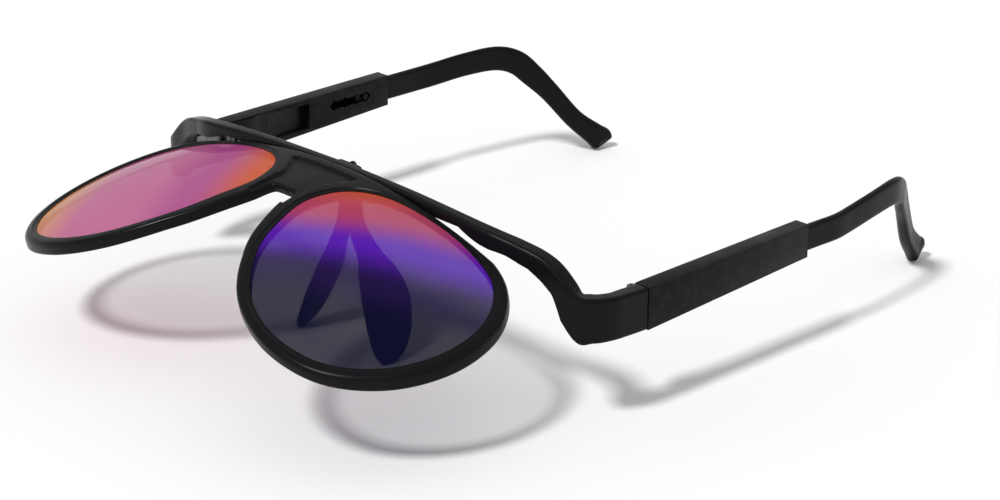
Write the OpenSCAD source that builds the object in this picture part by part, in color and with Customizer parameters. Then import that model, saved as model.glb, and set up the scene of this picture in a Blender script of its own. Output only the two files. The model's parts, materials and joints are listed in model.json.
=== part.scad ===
// Flip-up sunglasses resting on their nose pads and temple tips, with the lens front
// flipped up and the temples open. X runs across the face, Y from front to back, Z up.

/* [Lens front] */
// Width of each lens opening
lens_w = 51.6; // [48:0.2:54]
// Height of each lens opening
lens_h = 45.8; // [42:0.2:48]
// Space across the nose between the two lens openings
lens_space = 16.6; // [15:0.2:18]
// Thickness of each lens
lens_t = 1.6; // [1.4:0.1:1.8]
// Radius of the spherical front surface of rims and lenses
front_r = 147; // [140:1:160]
// Width of the rim around each lens
rim_w = 2.8; // [2.4:0.1:3.2]
// Width of the rim beside the bridge
nose_rim_w = 4.2; // [3.8:0.1:4.6]
// Depth of the rim, from its front surface to its back
rim_t = 2.9; // [2.7:0.1:3.4]
// How far each lens edge reaches into its groove
groove_d = 0.8; // [0.4:0.1:1.2]
// Depth of the front surface over the lens
lens_inset = 0.6; // [0.5:0.1:0.8]
// Length of the bridge, from the hinge line to the nose notch
bridge_h = 13; // [11:0.5:14]
// Width of the nose notch at its top
notch_w = 13; // [11:0.5:14]
// Width of the recessed panel on the bridge
panel_w = 20; // [16:1:22]
// Depth of the recessed panel
panel_d = 0.6; // [0.3:0.1:0.8]
// Width of the ridge left behind the panel
ridge_w = 2.8; // [2:0.1:3]

/* [Flip hinge] */
// Height of the flip hinge line over the table
flip_z = 38; // [36:0.5:40]
// How far the raised front slopes down from level
flip_slope = 13.2; // [8:0.2:18]
// Diameter of the flip hinge pin
flip_pin_d = 1; // [0.8:0.1:1.2]
// Diameter of the flip hinge knuckles
flip_knuckle_d = 2.4; // [2.2:0.1:2.6]
// Length of each of the five knuckles
flip_knuckle_l = 2.9; // [2.4:0.1:3.2]
// Thickness of the hinge leaves let into the plastic
flip_leaf_t = 0.8; // [0.6:0.1:1]

/* [Brow frame] */
// Width over the two end pieces
frame_w = 138.6; // [134:0.2:142]
// Thickness of the brow bar, front to back
brow_t = 2.6; // [2.4:0.1:3]
// Height of the top of the brow bar over the flip hinge line
brow_rise = 3.6; // [3.3:0.1:4]
// Width of the block in the brow bar that holds the flip hinge
block_w = 17; // [16:0.5:19]
// Distance that the end pieces reach back to the temple hinges
end_reach = 22.5; // [20:0.5:25]
// Thickness of the end pieces at the temple hinges
end_t = 3.8; // [3.4:0.1:4.2]

/* [Nose piece] */
// Distance between the two places where the pads touch the table
pad_space = 28.8; // [26:0.2:31]
// Width of each pad
pad_w = 11.4; // [9:0.2:12]
// Thickness of each pad
pad_t = 2.2; // [1.8:0.1:2.6]
// Length of each pad
pad_l = 23; // [20:0.5:25]
// Width of the stem that hangs from the brow bar
stem_w = 8; // [7:0.2:9]
// Diameter of the screw that holds the nose piece
nose_screw_d = 1.2; // [1:0.1:1.4]

/* [Temples] */
// Length of the temple sleeves
sleeve_l = 49; // [46:0.5:52]
// Height of the sleeves at the hinge
sleeve_h = 9.2; // [9:0.1:10]
// Height of the sleeves at their open end
sleeve_end_h = 7.4; // [7.2:0.1:7.8]
// Height of the bottom of the sleeves at the hinge
sleeve_z = 19.1; // [18:0.1:20]
// Height of the top of the sleeves at their open end
sleeve_end_top = 29; // [28.8:0.1:29.4]
// Thickness of the sleeves
sleeve_t = 4; // [3.8:0.1:4.4]
// Height of the sliding rods
rod_h = 5.8; // [5.4:0.1:6]
// Thickness of the sliding rods
rod_t = 1.8; // [1.6:0.1:2]
// Length of each rod held inside its sleeve
rod_grip = 9.4; // [8:0.2:11]
// Straight length of each rod outside its sleeve
rod_out = 11; // [10.5:0.1:12]
// Running gap round the sliding rods
slide_gap = 0.15; // [0.1:0.01:0.2]
// Number of notches that the rod clicks into
notch_count = 4; // [3:1:4]
// Distance between the notches
notch_pitch = 3.3; // [3:0.1:3.4]
// Diameter of the stud that rides in the notches
stud_d = 1.7; // [1.5:0.1:1.8]

/* [Temple hinges] */
// Diameter of the temple hinge knuckles
knuckle_d = 2.6; // [2.4:0.1:2.8]
// Diameter of the temple hinge screws
hinge_screw_d = 1.2; // [1:0.1:1.4]
// Thickness of the temple hinge leaves
leaf_t = 0.8; // [0.7:0.1:0.9]
// Length of the leaves along the end piece and along the sleeve
leaf_l = 8.5; // [8:0.1:9]
// Gap between the end piece and the sleeve
hinge_gap = 0.2; // [0.15:0.01:0.3]

/* [Hidden] */

$fn = 32;
// Middle of the opened glasses, measured back from the tips of the nose pads
middle_y = 42.27;
// Small overlap that makes cuts run past a surface
past = 0.02;
// Length of a cut that runs right through any piece
through = 80;
// Gap between leaves and the pockets that hold them
fit = 0.05;
// Gap between two knuckles
knuckle_gap = 0.1;
smoke = [0.13, 0.13, 0.14];
steel = [0.62, 0.63, 0.66];
tint = [0.55, 0.25, 0.62, 0.55];

// Place of the flip hinge line, a little in front of the brow bar
brow_y = -0.2;
brow_top = flip_z + brow_rise;
flip_gap = 0.15;
flip_back = 0.25;
flip_y = brow_y - flip_gap - flip_back;
// The sphere's middle lies level with this distance down the lens
sphere_s = 24.5;
// Height of the sphere's top over the hinge line, across the front
sphere_n = 6.1;
// Top of the lens opening, measured down the lens from the hinge line
lens_top_s = 1.1;
flip_leaf_l = 5 * flip_knuckle_l + 4 * knuckle_gap;
flip_knuckle_room = flip_knuckle_d / 2 + 0.15;

frame_x = frame_w / 2;
end_y = brow_y + end_reach;
leaf_face = frame_x - end_t;
// Temple hinge axis, just inside the inner face of the end piece
hinge_x = leaf_face - 0.9;
hinge_y = end_y + 0.1;
sleeve_y = end_y + hinge_gap;
sleeve_end_y = sleeve_y + sleeve_l;
sleeve_top = sleeve_z + sleeve_h;
knuckle_room = knuckle_d / 2 + 0.15;
leaf_z = sleeve_z + 1.3;
leaf_h = 6.6;
knuckle_l = (leaf_h - 2 * knuckle_gap) / 3;
front_rivets = [end_y - leaf_l + 1.6, end_y - leaf_l + 5.2];
temple_rivets = [hinge_y + 3.4, hinge_y + 6.4];
// Height of the thicker wall over the temple's leaf
bulge = 0.8;

rod_x = frame_x - 0.7 - 1.75;
rod_z = sleeve_end_top - 0.9 - rod_h;
stud_y = sleeve_end_y - 6.9;
slot_y = stud_y - (notch_count - 1) * notch_pitch;
slot_z = rod_z + rod_h / 2;

// Closed curve through points, with a few steps from each point to the next
function curve_at(a, b, c, d, t) =
    0.5 * (2 * b + (c - a) * t + (2 * a - 5 * b + 4 * c - d) * t * t + (3 * b - a - 3 * c + d) * t * t * t);
function closed_curve(p, steps) =
    let (n = len(p))
    [for (i = [0 : n - 1], k = [0 : steps - 1])
        curve_at(p[(i + n - 1) % n], p[i], p[(i + 1) % n], p[(i + 2) % n], k / steps)];
function open_curve(p, steps) =
    let (n = len(p))
    concat([for (i = [0 : n - 2], k = [0 : steps - 1])
        curve_at(p[max(i - 1, 0)], p[i], p[i + 1], p[min(i + 2, n - 1)], k / steps)], [p[n - 1]]);

// Outline moved outwards by d along its own normals
function grown(p, d) =
    let (n = len(p))
    [for (i = [0 : n - 1])
        let (t = p[(i + 1) % n] - p[(i + n - 1) % n], u = t / norm(t)) p[i] + d * [u[1], -u[0]]];

// Lens opening as shares of its width from the nose and of its height from the top
lens_shape = [[0, 0.27], [0.062, 0.11], [0.207, 0.02], [0.44, 0], [0.672, 0.026], [0.866, 0.109],
    [0.983, 0.303], [1, 0.555], [0.915, 0.8], [0.74, 0.969], [0.508, 1], [0.285, 0.9], [0.11, 0.681],
    [0.025, 0.445]];
opening = closed_curve([for (p = lens_shape)
    [lens_space / 2 + p[0] * lens_w, lens_top_s + p[1] * lens_h]], 4);

// Rounded rectangle w wide and h high, counted counter-clockwise
function round_box(w, h, r) =
    [for (c = [[1, 1, 0], [-1, 1, 90], [-1, -1, 180], [1, -1, 270]], a = [0, 45, 90])
        [c[0] * (w / 2 - r) + r * cos(c[2] + a), c[1] * (h / 2 - r) + r * sin(c[2] + a)]];

// Solid skin through rings of points
module loft(rings) {
    n = len(rings[0]);
    last = len(rings) - 1;
    polyhedron(
        points = [for (ring = rings, p = ring) p],
        faces = concat(
            [[for (j = [n - 1 : -1 : 0]) j]],
            [for (i = [0 : last - 1], j = [0 : n - 1], h = [0, 1])
                let (a = i * n + j, b = i * n + (j + 1) % n)
                h == 0 ? [a, b, b + n] : [a, b + n, a + n]],
            [[for (j = [0 : n - 1]) last * n + j]]));
}

// From the lens front's own axes, x across, s down the lens and n out of it, to the frame
module on_front() {
    translate([0, flip_y, flip_z]) rotate([flip_slope, 0, 0]) mirror([0, 1, 0]) children();
}

module both_sides() {
    children();
    mirror([1, 0, 0]) children();
}

// Shell between two depths under the spherical front surface
module front_shell(from, to) {
    translate([0, sphere_s, sphere_n - front_r])
        difference() {
            sphere(r = front_r - from, $fn = 160);
            sphere(r = front_r - to, $fn = 160);
        }
}

// Tall prism over an outline on the lens front
module front_prism(outline) {
    translate([0, 0, -through / 2]) linear_extrude(through) polygon(outline);
}

module lens() {
    intersection() {
        front_shell(lens_inset, lens_inset + lens_t);
        front_prism(grown(opening, groove_d));
    }
}

// Bridge between the rims, seen along the front's normal
bridge_half = lens_space / 2 + 3;
bridge_outline = [[-bridge_half - 10, -3], [bridge_half + 10, -3], [bridge_half + 3, 8], [bridge_half, 17],
    [notch_w / 2 + 0.4, 17.5], [notch_w / 2 - 0.6, bridge_h + 1.4], [notch_w / 2 - 2.4, bridge_h],
    [-notch_w / 2 + 2.4, bridge_h], [-notch_w / 2 + 0.6, bridge_h + 1.4], [-notch_w / 2 - 0.4, 17.5],
    [-bridge_half, 17], [-bridge_half - 3, 8]];
// Outline of a rim, which grows wider beside the bridge
function rim_width(p) =
    rim_w + (nose_rim_w - rim_w) * max(0, 1 - max(0, norm(p - [lens_space / 2, bridge_h]) - 4) / 18);
rim_outline = let (n = len(opening))
    [for (i = [0 : n - 1])
        let (t = opening[(i + 1) % n] - opening[(i + n - 1) % n], u = t / norm(t))
        opening[i] + rim_width(opening[i]) * [u[1], -u[0]]];
panel_top = ridge_w - 1.2;
panel_outline = [[-panel_w / 2, panel_top], [panel_w / 2, panel_top], [lens_space / 2 - 1.4, 5.4],
    [lens_space / 2 - 2.6, 9], [lens_space / 2 - 2.4, 14], [-lens_space / 2 + 2.4, 14],
    [-lens_space / 2 + 2.6, 9], [-lens_space / 2 + 1.4, 5.4]];

module lens_frame() {
    color(smoke)
        difference() {
            on_front() difference() {
                union() {
                    intersection() {
                        front_shell(0, rim_t);
                        union() {
                            both_sides() front_prism(rim_outline);
                            front_prism(bridge_outline);
                        }
                    }
                    // Boss under the bridge for the hinge leaf
                    translate([-flip_leaf_l / 2 - 0.8, 0.3, 0.5 + flip_leaf_t]) cube([flip_leaf_l + 1.6, 5.9, 1.6]);
                }
                both_sides() front_prism(opening);
                both_sides() intersection() {
                    front_shell(lens_inset - fit, lens_inset + lens_t + fit);
                    front_prism(grown(opening, groove_d + fit));
                }
                // Recessed panel on the bridge
                intersection() {
                    front_shell(-2, panel_d);
                    front_prism(panel_outline);
                }
                // Room behind and under the hinge line
                translate([-through, -8, -through]) cube([2 * through, 8.2, through + 0.1]);
                // Seat on the underside for the hinge leaf and its rivets
                translate([-flip_leaf_l / 2 - fit, 0, -6]) cube([flip_leaf_l + 2 * fit, 5.5, 6.5 + flip_leaf_t]);
                for (x = flip_rivet_x) translate([x, flip_rivet_s, 0]) cylinder(r = 0.42, h = 2.5);
            }
            // Straight back edge beside the brow bar
            translate([-through, flip_y + flip_back, 0]) cube([2 * through, through, through]);
            flip_hinge_room();
        }
}

// Round room for the knuckles
module flip_hinge_room() {
    translate([-flip_leaf_l / 2 - 0.3, flip_y, flip_z]) rotate([0, 90, 0])
        cylinder(r = flip_knuckle_room, h = flip_leaf_l + 0.6);
}

flip_rivet_x = [-4.6, 4.6];
flip_rivet_s = 3.6;

// One knuckle of the flip hinge, counted from 0 to 4 along X, with its bore
module flip_knuckle(i, clear) {
    translate([-flip_leaf_l / 2 + i * (flip_knuckle_l + knuckle_gap), 0, 0]) rotate([0, 90, 0])
        difference() {
            cylinder(d = flip_knuckle_d, h = flip_knuckle_l);
            translate([0, 0, -1]) cylinder(r = flip_pin_d / 2 + clear, h = flip_knuckle_l + 2);
        }
}

module flip_leaf_frame() {
    color(steel) translate([0, flip_y, flip_z]) {
        translate([-flip_leaf_l / 2, flip_knuckle_room + 0.1, -flip_leaf_t / 2])
            cube([flip_leaf_l, 1.3, flip_leaf_t]);
        for (i = [1, 3]) {
            flip_knuckle(i, 0.02);
            translate([-flip_leaf_l / 2 + i * (flip_knuckle_l + knuckle_gap), flip_knuckle_d / 2 - 0.3, -flip_leaf_t / 2])
                cube([flip_knuckle_l, flip_knuckle_room - flip_knuckle_d / 2 + 0.5, flip_leaf_t]);
        }
    }
}

module flip_leaf_lens() {
    color(steel) on_front() {
        difference() {
            translate([-flip_leaf_l / 2, flip_knuckle_room + 0.1, 0.5]) cube([flip_leaf_l, 3.9, flip_leaf_t]);
            for (x = flip_rivet_x) translate([x, flip_rivet_s, 0]) cylinder(r = 0.42, h = 2);
        }
        for (i = [0, 2, 4]) {
            flip_knuckle(i, 0.06);
            translate([-flip_leaf_l / 2 + i * (flip_knuckle_l + knuckle_gap), flip_knuckle_d / 2 - 0.35, 0.5])
                cube([flip_knuckle_l, flip_knuckle_room - flip_knuckle_d / 2 + 0.6, flip_leaf_t]);
        }
    }
}

module flip_rivets() {
    color(steel) on_front() for (x = flip_rivet_x) translate([x, flip_rivet_s, 0]) {
        translate([0, 0, 0.3]) cylinder(r = 0.4, h = 2.1);
        translate([0, 0, 0.3]) cylinder(r = 0.75, h = 0.2);
    }
}

module flip_pin() {
    color(steel) translate([-flip_leaf_l / 2 - 0.1, flip_y, flip_z]) rotate([0, 90, 0])
        cylinder(d = flip_pin_d, h = flip_leaf_l + 0.2);
}

// Rows of x, front face y, top and bottom of the brow bar and end piece, and its thickness
brow_rows = [[0, brow_y, brow_top, brow_top - 3.2, brow_t],
    [22, brow_y, brow_top - 0.5, brow_top - 3.3, brow_t + 0.1],
    [frame_x - 27.3, brow_y, brow_top - 1.9, brow_top - 6.1, brow_t + 0.8],
    [frame_x - 18.5, brow_y + 2.3, brow_top - 3.8, brow_top - 7.8, end_t + 0.2],
    [frame_x - 11.3, brow_y + 4.5, brow_top - 6.2, sleeve_z + 8.4, end_t + 0.2],
    [frame_x - 4.6, brow_y + 6.1, sleeve_top + 1.5, sleeve_z + 0.7, end_t + 0.2],
    [frame_x - 1.7, brow_y + 9.1, sleeve_top + 0.6, sleeve_z + 0.2, end_t + 0.2],
    [frame_x - 0.2, brow_y + 13.2, sleeve_top + 0.4, sleeve_z + 0.2, end_t - 0.2],
    [frame_x, end_y - 5, sleeve_top + 0.2, sleeve_z + 0.1, end_t],
    [frame_x, end_y, sleeve_top, sleeve_z, end_t]];
brow_path = open_curve(brow_rows, 4);

// Ring of the brow bar at one place of its path, as an upright rounded slab; side is 1 or -1
function brow_ring(i, side) =
    let (last = len(brow_path) - 1, q = brow_path[i],
        t = brow_path[min(i + 1, last)] - brow_path[max(i - 1, 0)],
        u = [t[0], t[1]] / norm([t[0], t[1]]), middle = (q[2] + q[3]) / 2)
    [for (p = round_box(q[4], q[2] - q[3], 0.6))
        let (in = q[4] / 2 + p[0])
        [side * (q[0] - in * u[1]), q[1] + in * u[0], middle + p[1]]];

// Rows of distance in from the rim's outer side, height over the hinge line of the room that
// the rims swing into, and radius round the hinge line that they leave free
rim_x = lens_space / 2 + lens_w + rim_w;
rim_room_rows = [[50.7, 0.3, 0.1], [24.7, 0.3, 0.15], [20.7, 0.3, 1.6], [15.8, -0.1, 3.1], [12.7, -1.1, 4.25],
    [8.6, -2.8, 6.1], [5.7, -5.4, 8.3], [3.1, -8.4, 10.7], [1.7, -11.7, 13.6], [0.5, -15, 17.4],
    [-0.1, -20.5, 23.6], [-1.3, -28, 30]];

module rim_room() {
    first = rim_x - rim_room_rows[0][0];
    end = rim_x - rim_room_rows[len(rim_room_rows) - 1][0];
    difference() {
        translate([0, through / 2, flip_z]) rotate([90, 0, 0]) linear_extrude(through)
            polygon(concat([[first, -flip_z]], [for (r = rim_room_rows) [rim_x - r[0], r[1]]], [[end, -flip_z]]));
        translate([0, flip_y, flip_z]) rotate([0, 90, 0]) rotate_extrude($fn = 96)
            polygon(concat([[0, first - 1]], [for (r = rim_room_rows) [r[2], rim_x - r[0]]], [[0, end]]));
    }
}

module brow_frame() {
    last = len(brow_path) - 1;
    rings = concat([for (i = [last : -1 : 0]) brow_ring(i, 1)], [for (i = [1 : last]) brow_ring(i, -1)]);
    seat_z = flip_z - flip_knuckle_d / 2 - fit;
    color(smoke)
        difference() {
            union() {
                loft(rings);
                // Block that holds the flip hinge and the nose piece
                translate([-block_w / 2, brow_y, seat_z]) cube([block_w, brow_t, brow_top - 0.6 - seat_z]);
            }
            // Pocket for the foot of the click spring
            translate([-1.2 - fit, flip_y + 2.2 - fit, seat_z - 1]) cube([2.4 + 2 * fit, 0.5 + 2 * fit, 1.6]);
            flip_hinge_room();
            translate([-flip_leaf_l / 2 - fit, flip_y, flip_z - flip_leaf_t / 2 - fit])
                cube([flip_leaf_l + 2 * fit, flip_knuckle_room + 1.45, flip_leaf_t + 2 * fit]);
            nose_screw_hole(0.02);
            both_sides() {
                rim_room();
                // Room for the temple hinge's knuckles and pocket for its leaf
                translate([hinge_x, hinge_y, leaf_z - 0.3]) cylinder(r = knuckle_room, h = leaf_h + 1);
                translate([leaf_face - 0.3, end_y - leaf_l, leaf_z - fit])
                    cube([leaf_t + 0.3, leaf_l + 1, leaf_h + 2 * fit]);
                rivet_holes(front_rivets[0], front_rivets[1]);
            }
        }
}

// Screw that holds the nose piece to the back of the brow bar
nose_screw_z = brow_top - 1.6;
nose_plate_t = 1.6;
nose_plate_y = brow_y + brow_t + fit;

module nose_screw_hole(clear) {
    translate([0, brow_y + 0.6, nose_screw_z]) rotate([-90, 0, 0])
        cylinder(r = nose_screw_d / 2 + clear, h = brow_t + nose_plate_t + 2);
}

module nose_screw() {
    color(steel) translate([0, 0, nose_screw_z]) {
        translate([0, brow_y + 0.8, 0]) rotate([-90, 0, 0])
            cylinder(d = nose_screw_d, h = nose_plate_y + nose_plate_t - brow_y - 0.8);
        difference() {
            translate([0, nose_plate_y + nose_plate_t, 0]) rotate([-90, 0, 0])
                cylinder(d = nose_screw_d + 1, h = 0.5);
            translate([-2, nose_plate_y + nose_plate_t + 0.25, -0.15]) cube([4, 1, 0.3]);
        }
    }
}

// Rows of x, y, z, width front to back and thickness, from the stem down to the pad's tip
pad_top_z = pad_l * 0.93;
pad_rows = [[0.9, 3.6, pad_top_z + 11, 2.6, 3.6], [1.6, 3.6, pad_top_z + 6.5, 3.2, 4],
    [3.2, 3.8, pad_top_z + 3.2, 4.2, 3.4], [5.2, 4.2, pad_top_z, 5.8, pad_t + 0.6],
    [7.6, 4.6, pad_top_z * 0.8, pad_w * 0.84, pad_t + 0.2], [10, 4.6, pad_top_z * 0.56, pad_w, pad_t],
    [12.2, 3.7, pad_top_z * 0.3, pad_w * 0.92, pad_t], [13.7, 2.4, pad_top_z * 0.12, pad_w * 0.6, pad_t * 0.9],
    [pad_space / 2 - 0.1, 1.6, 0.05, pad_w * 0.24, pad_t * 0.5]];
pad_splay = 14;
pad_path = open_curve(pad_rows, 3);

function pad_ring(i) =
    let (last = len(pad_path) - 1, q = pad_path[i],
        t = pad_path[min(i + 1, last)] - pad_path[max(i - 1, 0)],
        along = [t[0], 0, t[2]] / norm([t[0], 0, t[2]]),
        across = [-along[2], 0, along[0]])
    [for (p = round_box(q[4], q[3], min(q[3], q[4]) * 0.42))
        [q[0], q[1], q[2]] + across * (p[0] * cos(pad_splay) + p[1] * sin(pad_splay))
            + [0, 1, 0] * (p[1] * cos(pad_splay) - p[0] * sin(pad_splay))];

module nose_piece() {
    stem_top = nose_screw_z + 1.2;
    stem_low = pad_top_z + 8;
    color(smoke)
        difference() {
            union() {
                both_sides() loft([for (i = [0 : len(pad_path) - 1]) pad_ring(i)]);
                translate([-stem_w / 2, nose_plate_y, stem_low + 3]) cube([stem_w, nose_plate_t, stem_top - stem_low - 3]);
                translate([-stem_w / 2 + 1, nose_plate_y, stem_low]) cube([stem_w - 2, nose_plate_t, 4]);
            }
            nose_screw_hole(0.02);
            translate([-through, -through, -through]) cube([2 * through, 2 * through, through]);
        }
}

// Flat strip whose free end bears on the middle knuckle of the flip hinge
module flip_click_spring() {
    color(steel) translate([-1.2, flip_y, flip_z - flip_knuckle_d / 2 - fit]) {
        translate([0, -0.3, -0.3]) cube([2.4, 3, 0.3]);
        translate([0, 2.2, -0.3]) cube([2.4, 0.5, 0.8]);
    }
}

// Temple hinge: the three knuckles stand over each other, the middle one on the temple
module temple_knuckle(i, clear) {
    translate([hinge_x, hinge_y, leaf_z + i * (knuckle_l + knuckle_gap)])
        difference() {
            cylinder(d = knuckle_d, h = knuckle_l);
            translate([0, 0, -1]) cylinder(r = hinge_screw_d / 2 + clear, h = knuckle_l + 2);
        }
}

module rivet_holes(y1, y2) {
    for (y = [y1, y2])
        translate([leaf_face - 1.5, y, leaf_z + leaf_h / 2]) rotate([0, 90, 0]) cylinder(r = 0.42, h = 3.5);
}

// Two rivets whose heads lie on a wall this much inside the leaf
module hinge_rivets(y1, y2, wall) {
    color(steel) for (y = [y1, y2])
        translate([leaf_face - wall, y, leaf_z + leaf_h / 2]) rotate([0, 90, 0]) {
            cylinder(r = 0.4, h = 1.9 + wall);
            translate([0, 0, -0.25]) cylinder(r = 0.8, h = 0.25);
        }
}

module hinge_leaf_front() {
    color(steel) difference() {
        union() {
            translate([leaf_face, end_y - leaf_l + fit, leaf_z]) cube([leaf_t - fit, leaf_l - 2, leaf_h]);
            for (i = [0, 2]) {
                temple_knuckle(i, 0.02);
                difference() {
                    translate([leaf_face, hinge_y - 2.2, leaf_z + i * (knuckle_l + knuckle_gap)])
                        cube([leaf_t - fit, 2.2, knuckle_l]);
                    translate([hinge_x, hinge_y, 0]) cylinder(d = hinge_screw_d + 0.04, h = through);
                }
            }
        }
        rivet_holes(front_rivets[0], front_rivets[1]);
    }
}

module hinge_leaf_temple() {
    color(steel) difference() {
        union() {
            translate([leaf_face, hinge_y + 1.9, leaf_z]) cube([leaf_t - fit, leaf_l - 2, leaf_h]);
            temple_knuckle(1, 0.06);
            translate([leaf_face, hinge_y, leaf_z + knuckle_l + knuckle_gap]) cube([leaf_t - fit, 2.2, knuckle_l]);
        }
        rivet_holes(temple_rivets[0], temple_rivets[1]);
    }
}

module hinge_screw() {
    color(steel) translate([hinge_x, hinge_y, leaf_z]) {
        translate([0, 0, 0.1]) cylinder(d = hinge_screw_d, h = leaf_h - 0.1);
        difference() {
            translate([0, 0, leaf_h]) cylinder(d = knuckle_d - 0.4, h = 0.5);
            translate([-2, -0.15, leaf_h + 0.25]) cube([4, 0.3, 1]);
        }
    }
}

// Ring of the sleeve at a share t of its length, upright and slightly rounded
function sleeve_ring(t) =
    let (top = sleeve_top + t * (sleeve_end_top - sleeve_top), h = sleeve_h + t * (sleeve_end_h - sleeve_h),
        outer = frame_x - 0.7 * t, w = sleeve_t - 0.4 * t)
    [for (p = round_box(w, h, 0.4))
        [outer - w / 2 + p[0], sleeve_y + t * sleeve_l, top - h / 2 + p[1]]];

module temple_sleeve() {
    pocket_y = sleeve_y + 12;
    pocket_end = sleeve_y + 24.6;
    color(smoke)
        difference() {
            union() {
                loft([sleeve_ring(0), sleeve_ring(1)]);
                // Thicker wall over the hinge leaf, with rounded ends
                translate([leaf_face + 0.6, 0, leaf_z - 0.9]) linear_extrude(leaf_h + 1.9)
                    polygon([[0, hinge_y + 1.7], [-0.6 - bulge, hinge_y + 2.2], [-0.6 - bulge, hinge_y + 7.6], [0, hinge_y + 9.8]]);
            }
            translate([hinge_x, hinge_y, leaf_z - 0.3]) cylinder(r = knuckle_room, h = leaf_h + 1);
            translate([leaf_face - 2, sleeve_y - 1, leaf_z - fit]) cube([2 + leaf_t, 3, leaf_h + 2 * fit]);
            translate([leaf_face - 0.02, hinge_y + 1, leaf_z - fit]) cube([leaf_t + 0.02, leaf_l - 1, leaf_h + 2 * fit]);
            rivet_holes(temple_rivets[0], temple_rivets[1]);
            // Channel that the rod slides in
            translate([rod_x - rod_t / 2 - slide_gap, slot_y - 3, rod_z - slide_gap])
                cube([rod_t + 2 * slide_gap, sleeve_end_y, rod_h + 2 * slide_gap]);
            // Notched slot through the inner wall
            translate([rod_x - 4, 0, 0]) rotate([90, 0, 90]) linear_extrude(4) {
                for (i = [0 : notch_count - 1]) translate([stud_y - i * notch_pitch, slot_z])
                    rotate(45) square(stud_d + 0.4, center = true);
                translate([slot_y, slot_z - 0.95]) square([stud_y - slot_y, 1.9]);
            }
            // Pocket whose floor rises towards the hinge
            translate([0, 0, sleeve_z + 2.2]) linear_extrude(6.2)
                polygon([[leaf_face - 1, pocket_y], [leaf_face + 0.1, pocket_y], [leaf_face + 1.6, pocket_end - 1],
                    [leaf_face + 1.6, pocket_end], [leaf_face - 1, pocket_end]]);
        }
}

// Rows of x, y, z at the middle of the rod and tip, with their height and thickness
rod_bend_y = sleeve_end_y + rod_out;
rod_mid = rod_z + rod_h / 2;
tip_rows = [[rod_x, rod_bend_y, rod_mid, rod_h, rod_t],
    [rod_x - 0.6, rod_bend_y + 5.3, rod_mid + 0.3, rod_h, rod_t],
    [rod_x - 1.8, rod_bend_y + 14.3, rod_mid + 1, rod_h, rod_t],
    [rod_x - 3.6, rod_bend_y + 22.8, rod_mid + 1.1, rod_h + 0.2, rod_t + 0.2],
    [rod_x - 5.7, rod_bend_y + 27.8, rod_mid - 0.5, rod_h + 0.3, rod_t + 0.4],
    [rod_x - 7.8, rod_bend_y + 31.4, rod_mid - 4.1, rod_h, rod_t + 0.6],
    [rod_x - 10.2, rod_bend_y + 35.3, rod_mid - 8.8, rod_h - 0.8, rod_t + 0.8],
    [rod_x - 13.2, rod_bend_y + 40.8, rod_mid - 16.2, rod_h - 1, rod_t + 1.1],
    [rod_x - 15.3, rod_bend_y + 45.9, rod_mid - 20.9, rod_h - 0.2, rod_t + 1.2],
    [rod_x - 15.8, rod_bend_y + 47.8, rod_mid - 22.6, rod_h + 0.5, rod_t + 1.1],
    [rod_x - 16, rod_bend_y + 48.6, rod_mid - 24.1, rod_h * 0.9, rod_t * 0.9]];
tip_path = open_curve(tip_rows, 4);

function tip_ring(i) =
    let (last = len(tip_path) - 1, q = tip_path[i],
        t = tip_path[min(i + 1, last)] - tip_path[max(i - 1, 0)],
        d = [t[0], t[1], t[2]] / norm([t[0], t[1], t[2]]),
        side = cross([0, 0, 1], d), w = side / norm(side), up = cross(d, w))
    [for (p = round_box(q[4], q[3], q[4] * 0.3))
        [q[0], q[1], q[2]] - w * p[0] + up * p[1]];

module temple_rod() {
    start = [for (p = round_box(rod_t, rod_h, rod_t * 0.3)) [rod_x + p[0], sleeve_end_y - rod_grip, rod_mid + p[1]]];
    color(smoke)
        difference() {
            loft(concat([start], [for (i = [0 : len(tip_path) - 1]) tip_ring(i)]));
            stud_hole(0.02);
            translate([0, 0, -through]) cube([through, 3 * through, through]);
        }
}

module stud_hole(clear) {
    translate([rod_x - rod_t, stud_y, rod_mid]) rotate([0, 90, 0])
        cylinder(r = stud_d / 2 - 0.25 + clear, h = rod_t * 2);
}

module slide_stud() {
    // From the rod to the sleeve's inner face at its open end
    inner_wall = rod_x - rod_t / 2 - (frame_x - 0.3 - sleeve_t);
    color(smoke) translate([0, stud_y, rod_mid]) rotate([0, 90, 0]) {
        translate([0, 0, rod_x - rod_t / 2 - 0.1]) cylinder(r = stud_d / 2 - 0.25, h = rod_t + 0.1);
        translate([0, 0, rod_x - rod_t / 2 - inner_wall + 0.15]) cylinder(d = stud_d, h = inner_wall - 0.17);
    }
}

module right_side(mirrored) {
    if (mirrored) mirror([1, 0, 0]) children();
    else children();
}

translate([0, -middle_y, 0]) {
    brow_frame();
    nose_piece();
    nose_screw();
    flip_leaf_frame();
    flip_pin();
    flip_click_spring();
    lens_frame();
    flip_leaf_lens();
    flip_rivets();
    for (side = ["left", "right"]) right_side(side == "left") {
        color(tint) on_front() lens();
        hinge_leaf_front();
        hinge_rivets(front_rivets[0], front_rivets[1], 0);
        hinge_screw();
        temple_sleeve();
        hinge_leaf_temple();
        hinge_rivets(temple_rivets[0], temple_rivets[1], bulge);
        temple_rod();
        slide_stud();
    }
}
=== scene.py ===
"""Flip-up sunglasses: the looks of every piece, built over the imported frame.

Lengths in the shape functions are millimetres in the frame's own axes: X across the brow bar,
Y from the lenses back to the ear tips, Z up from the table.
"""
import json
import math

import bmesh
import bpy
import numpy as np
from mathutils import Matrix, Vector


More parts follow.
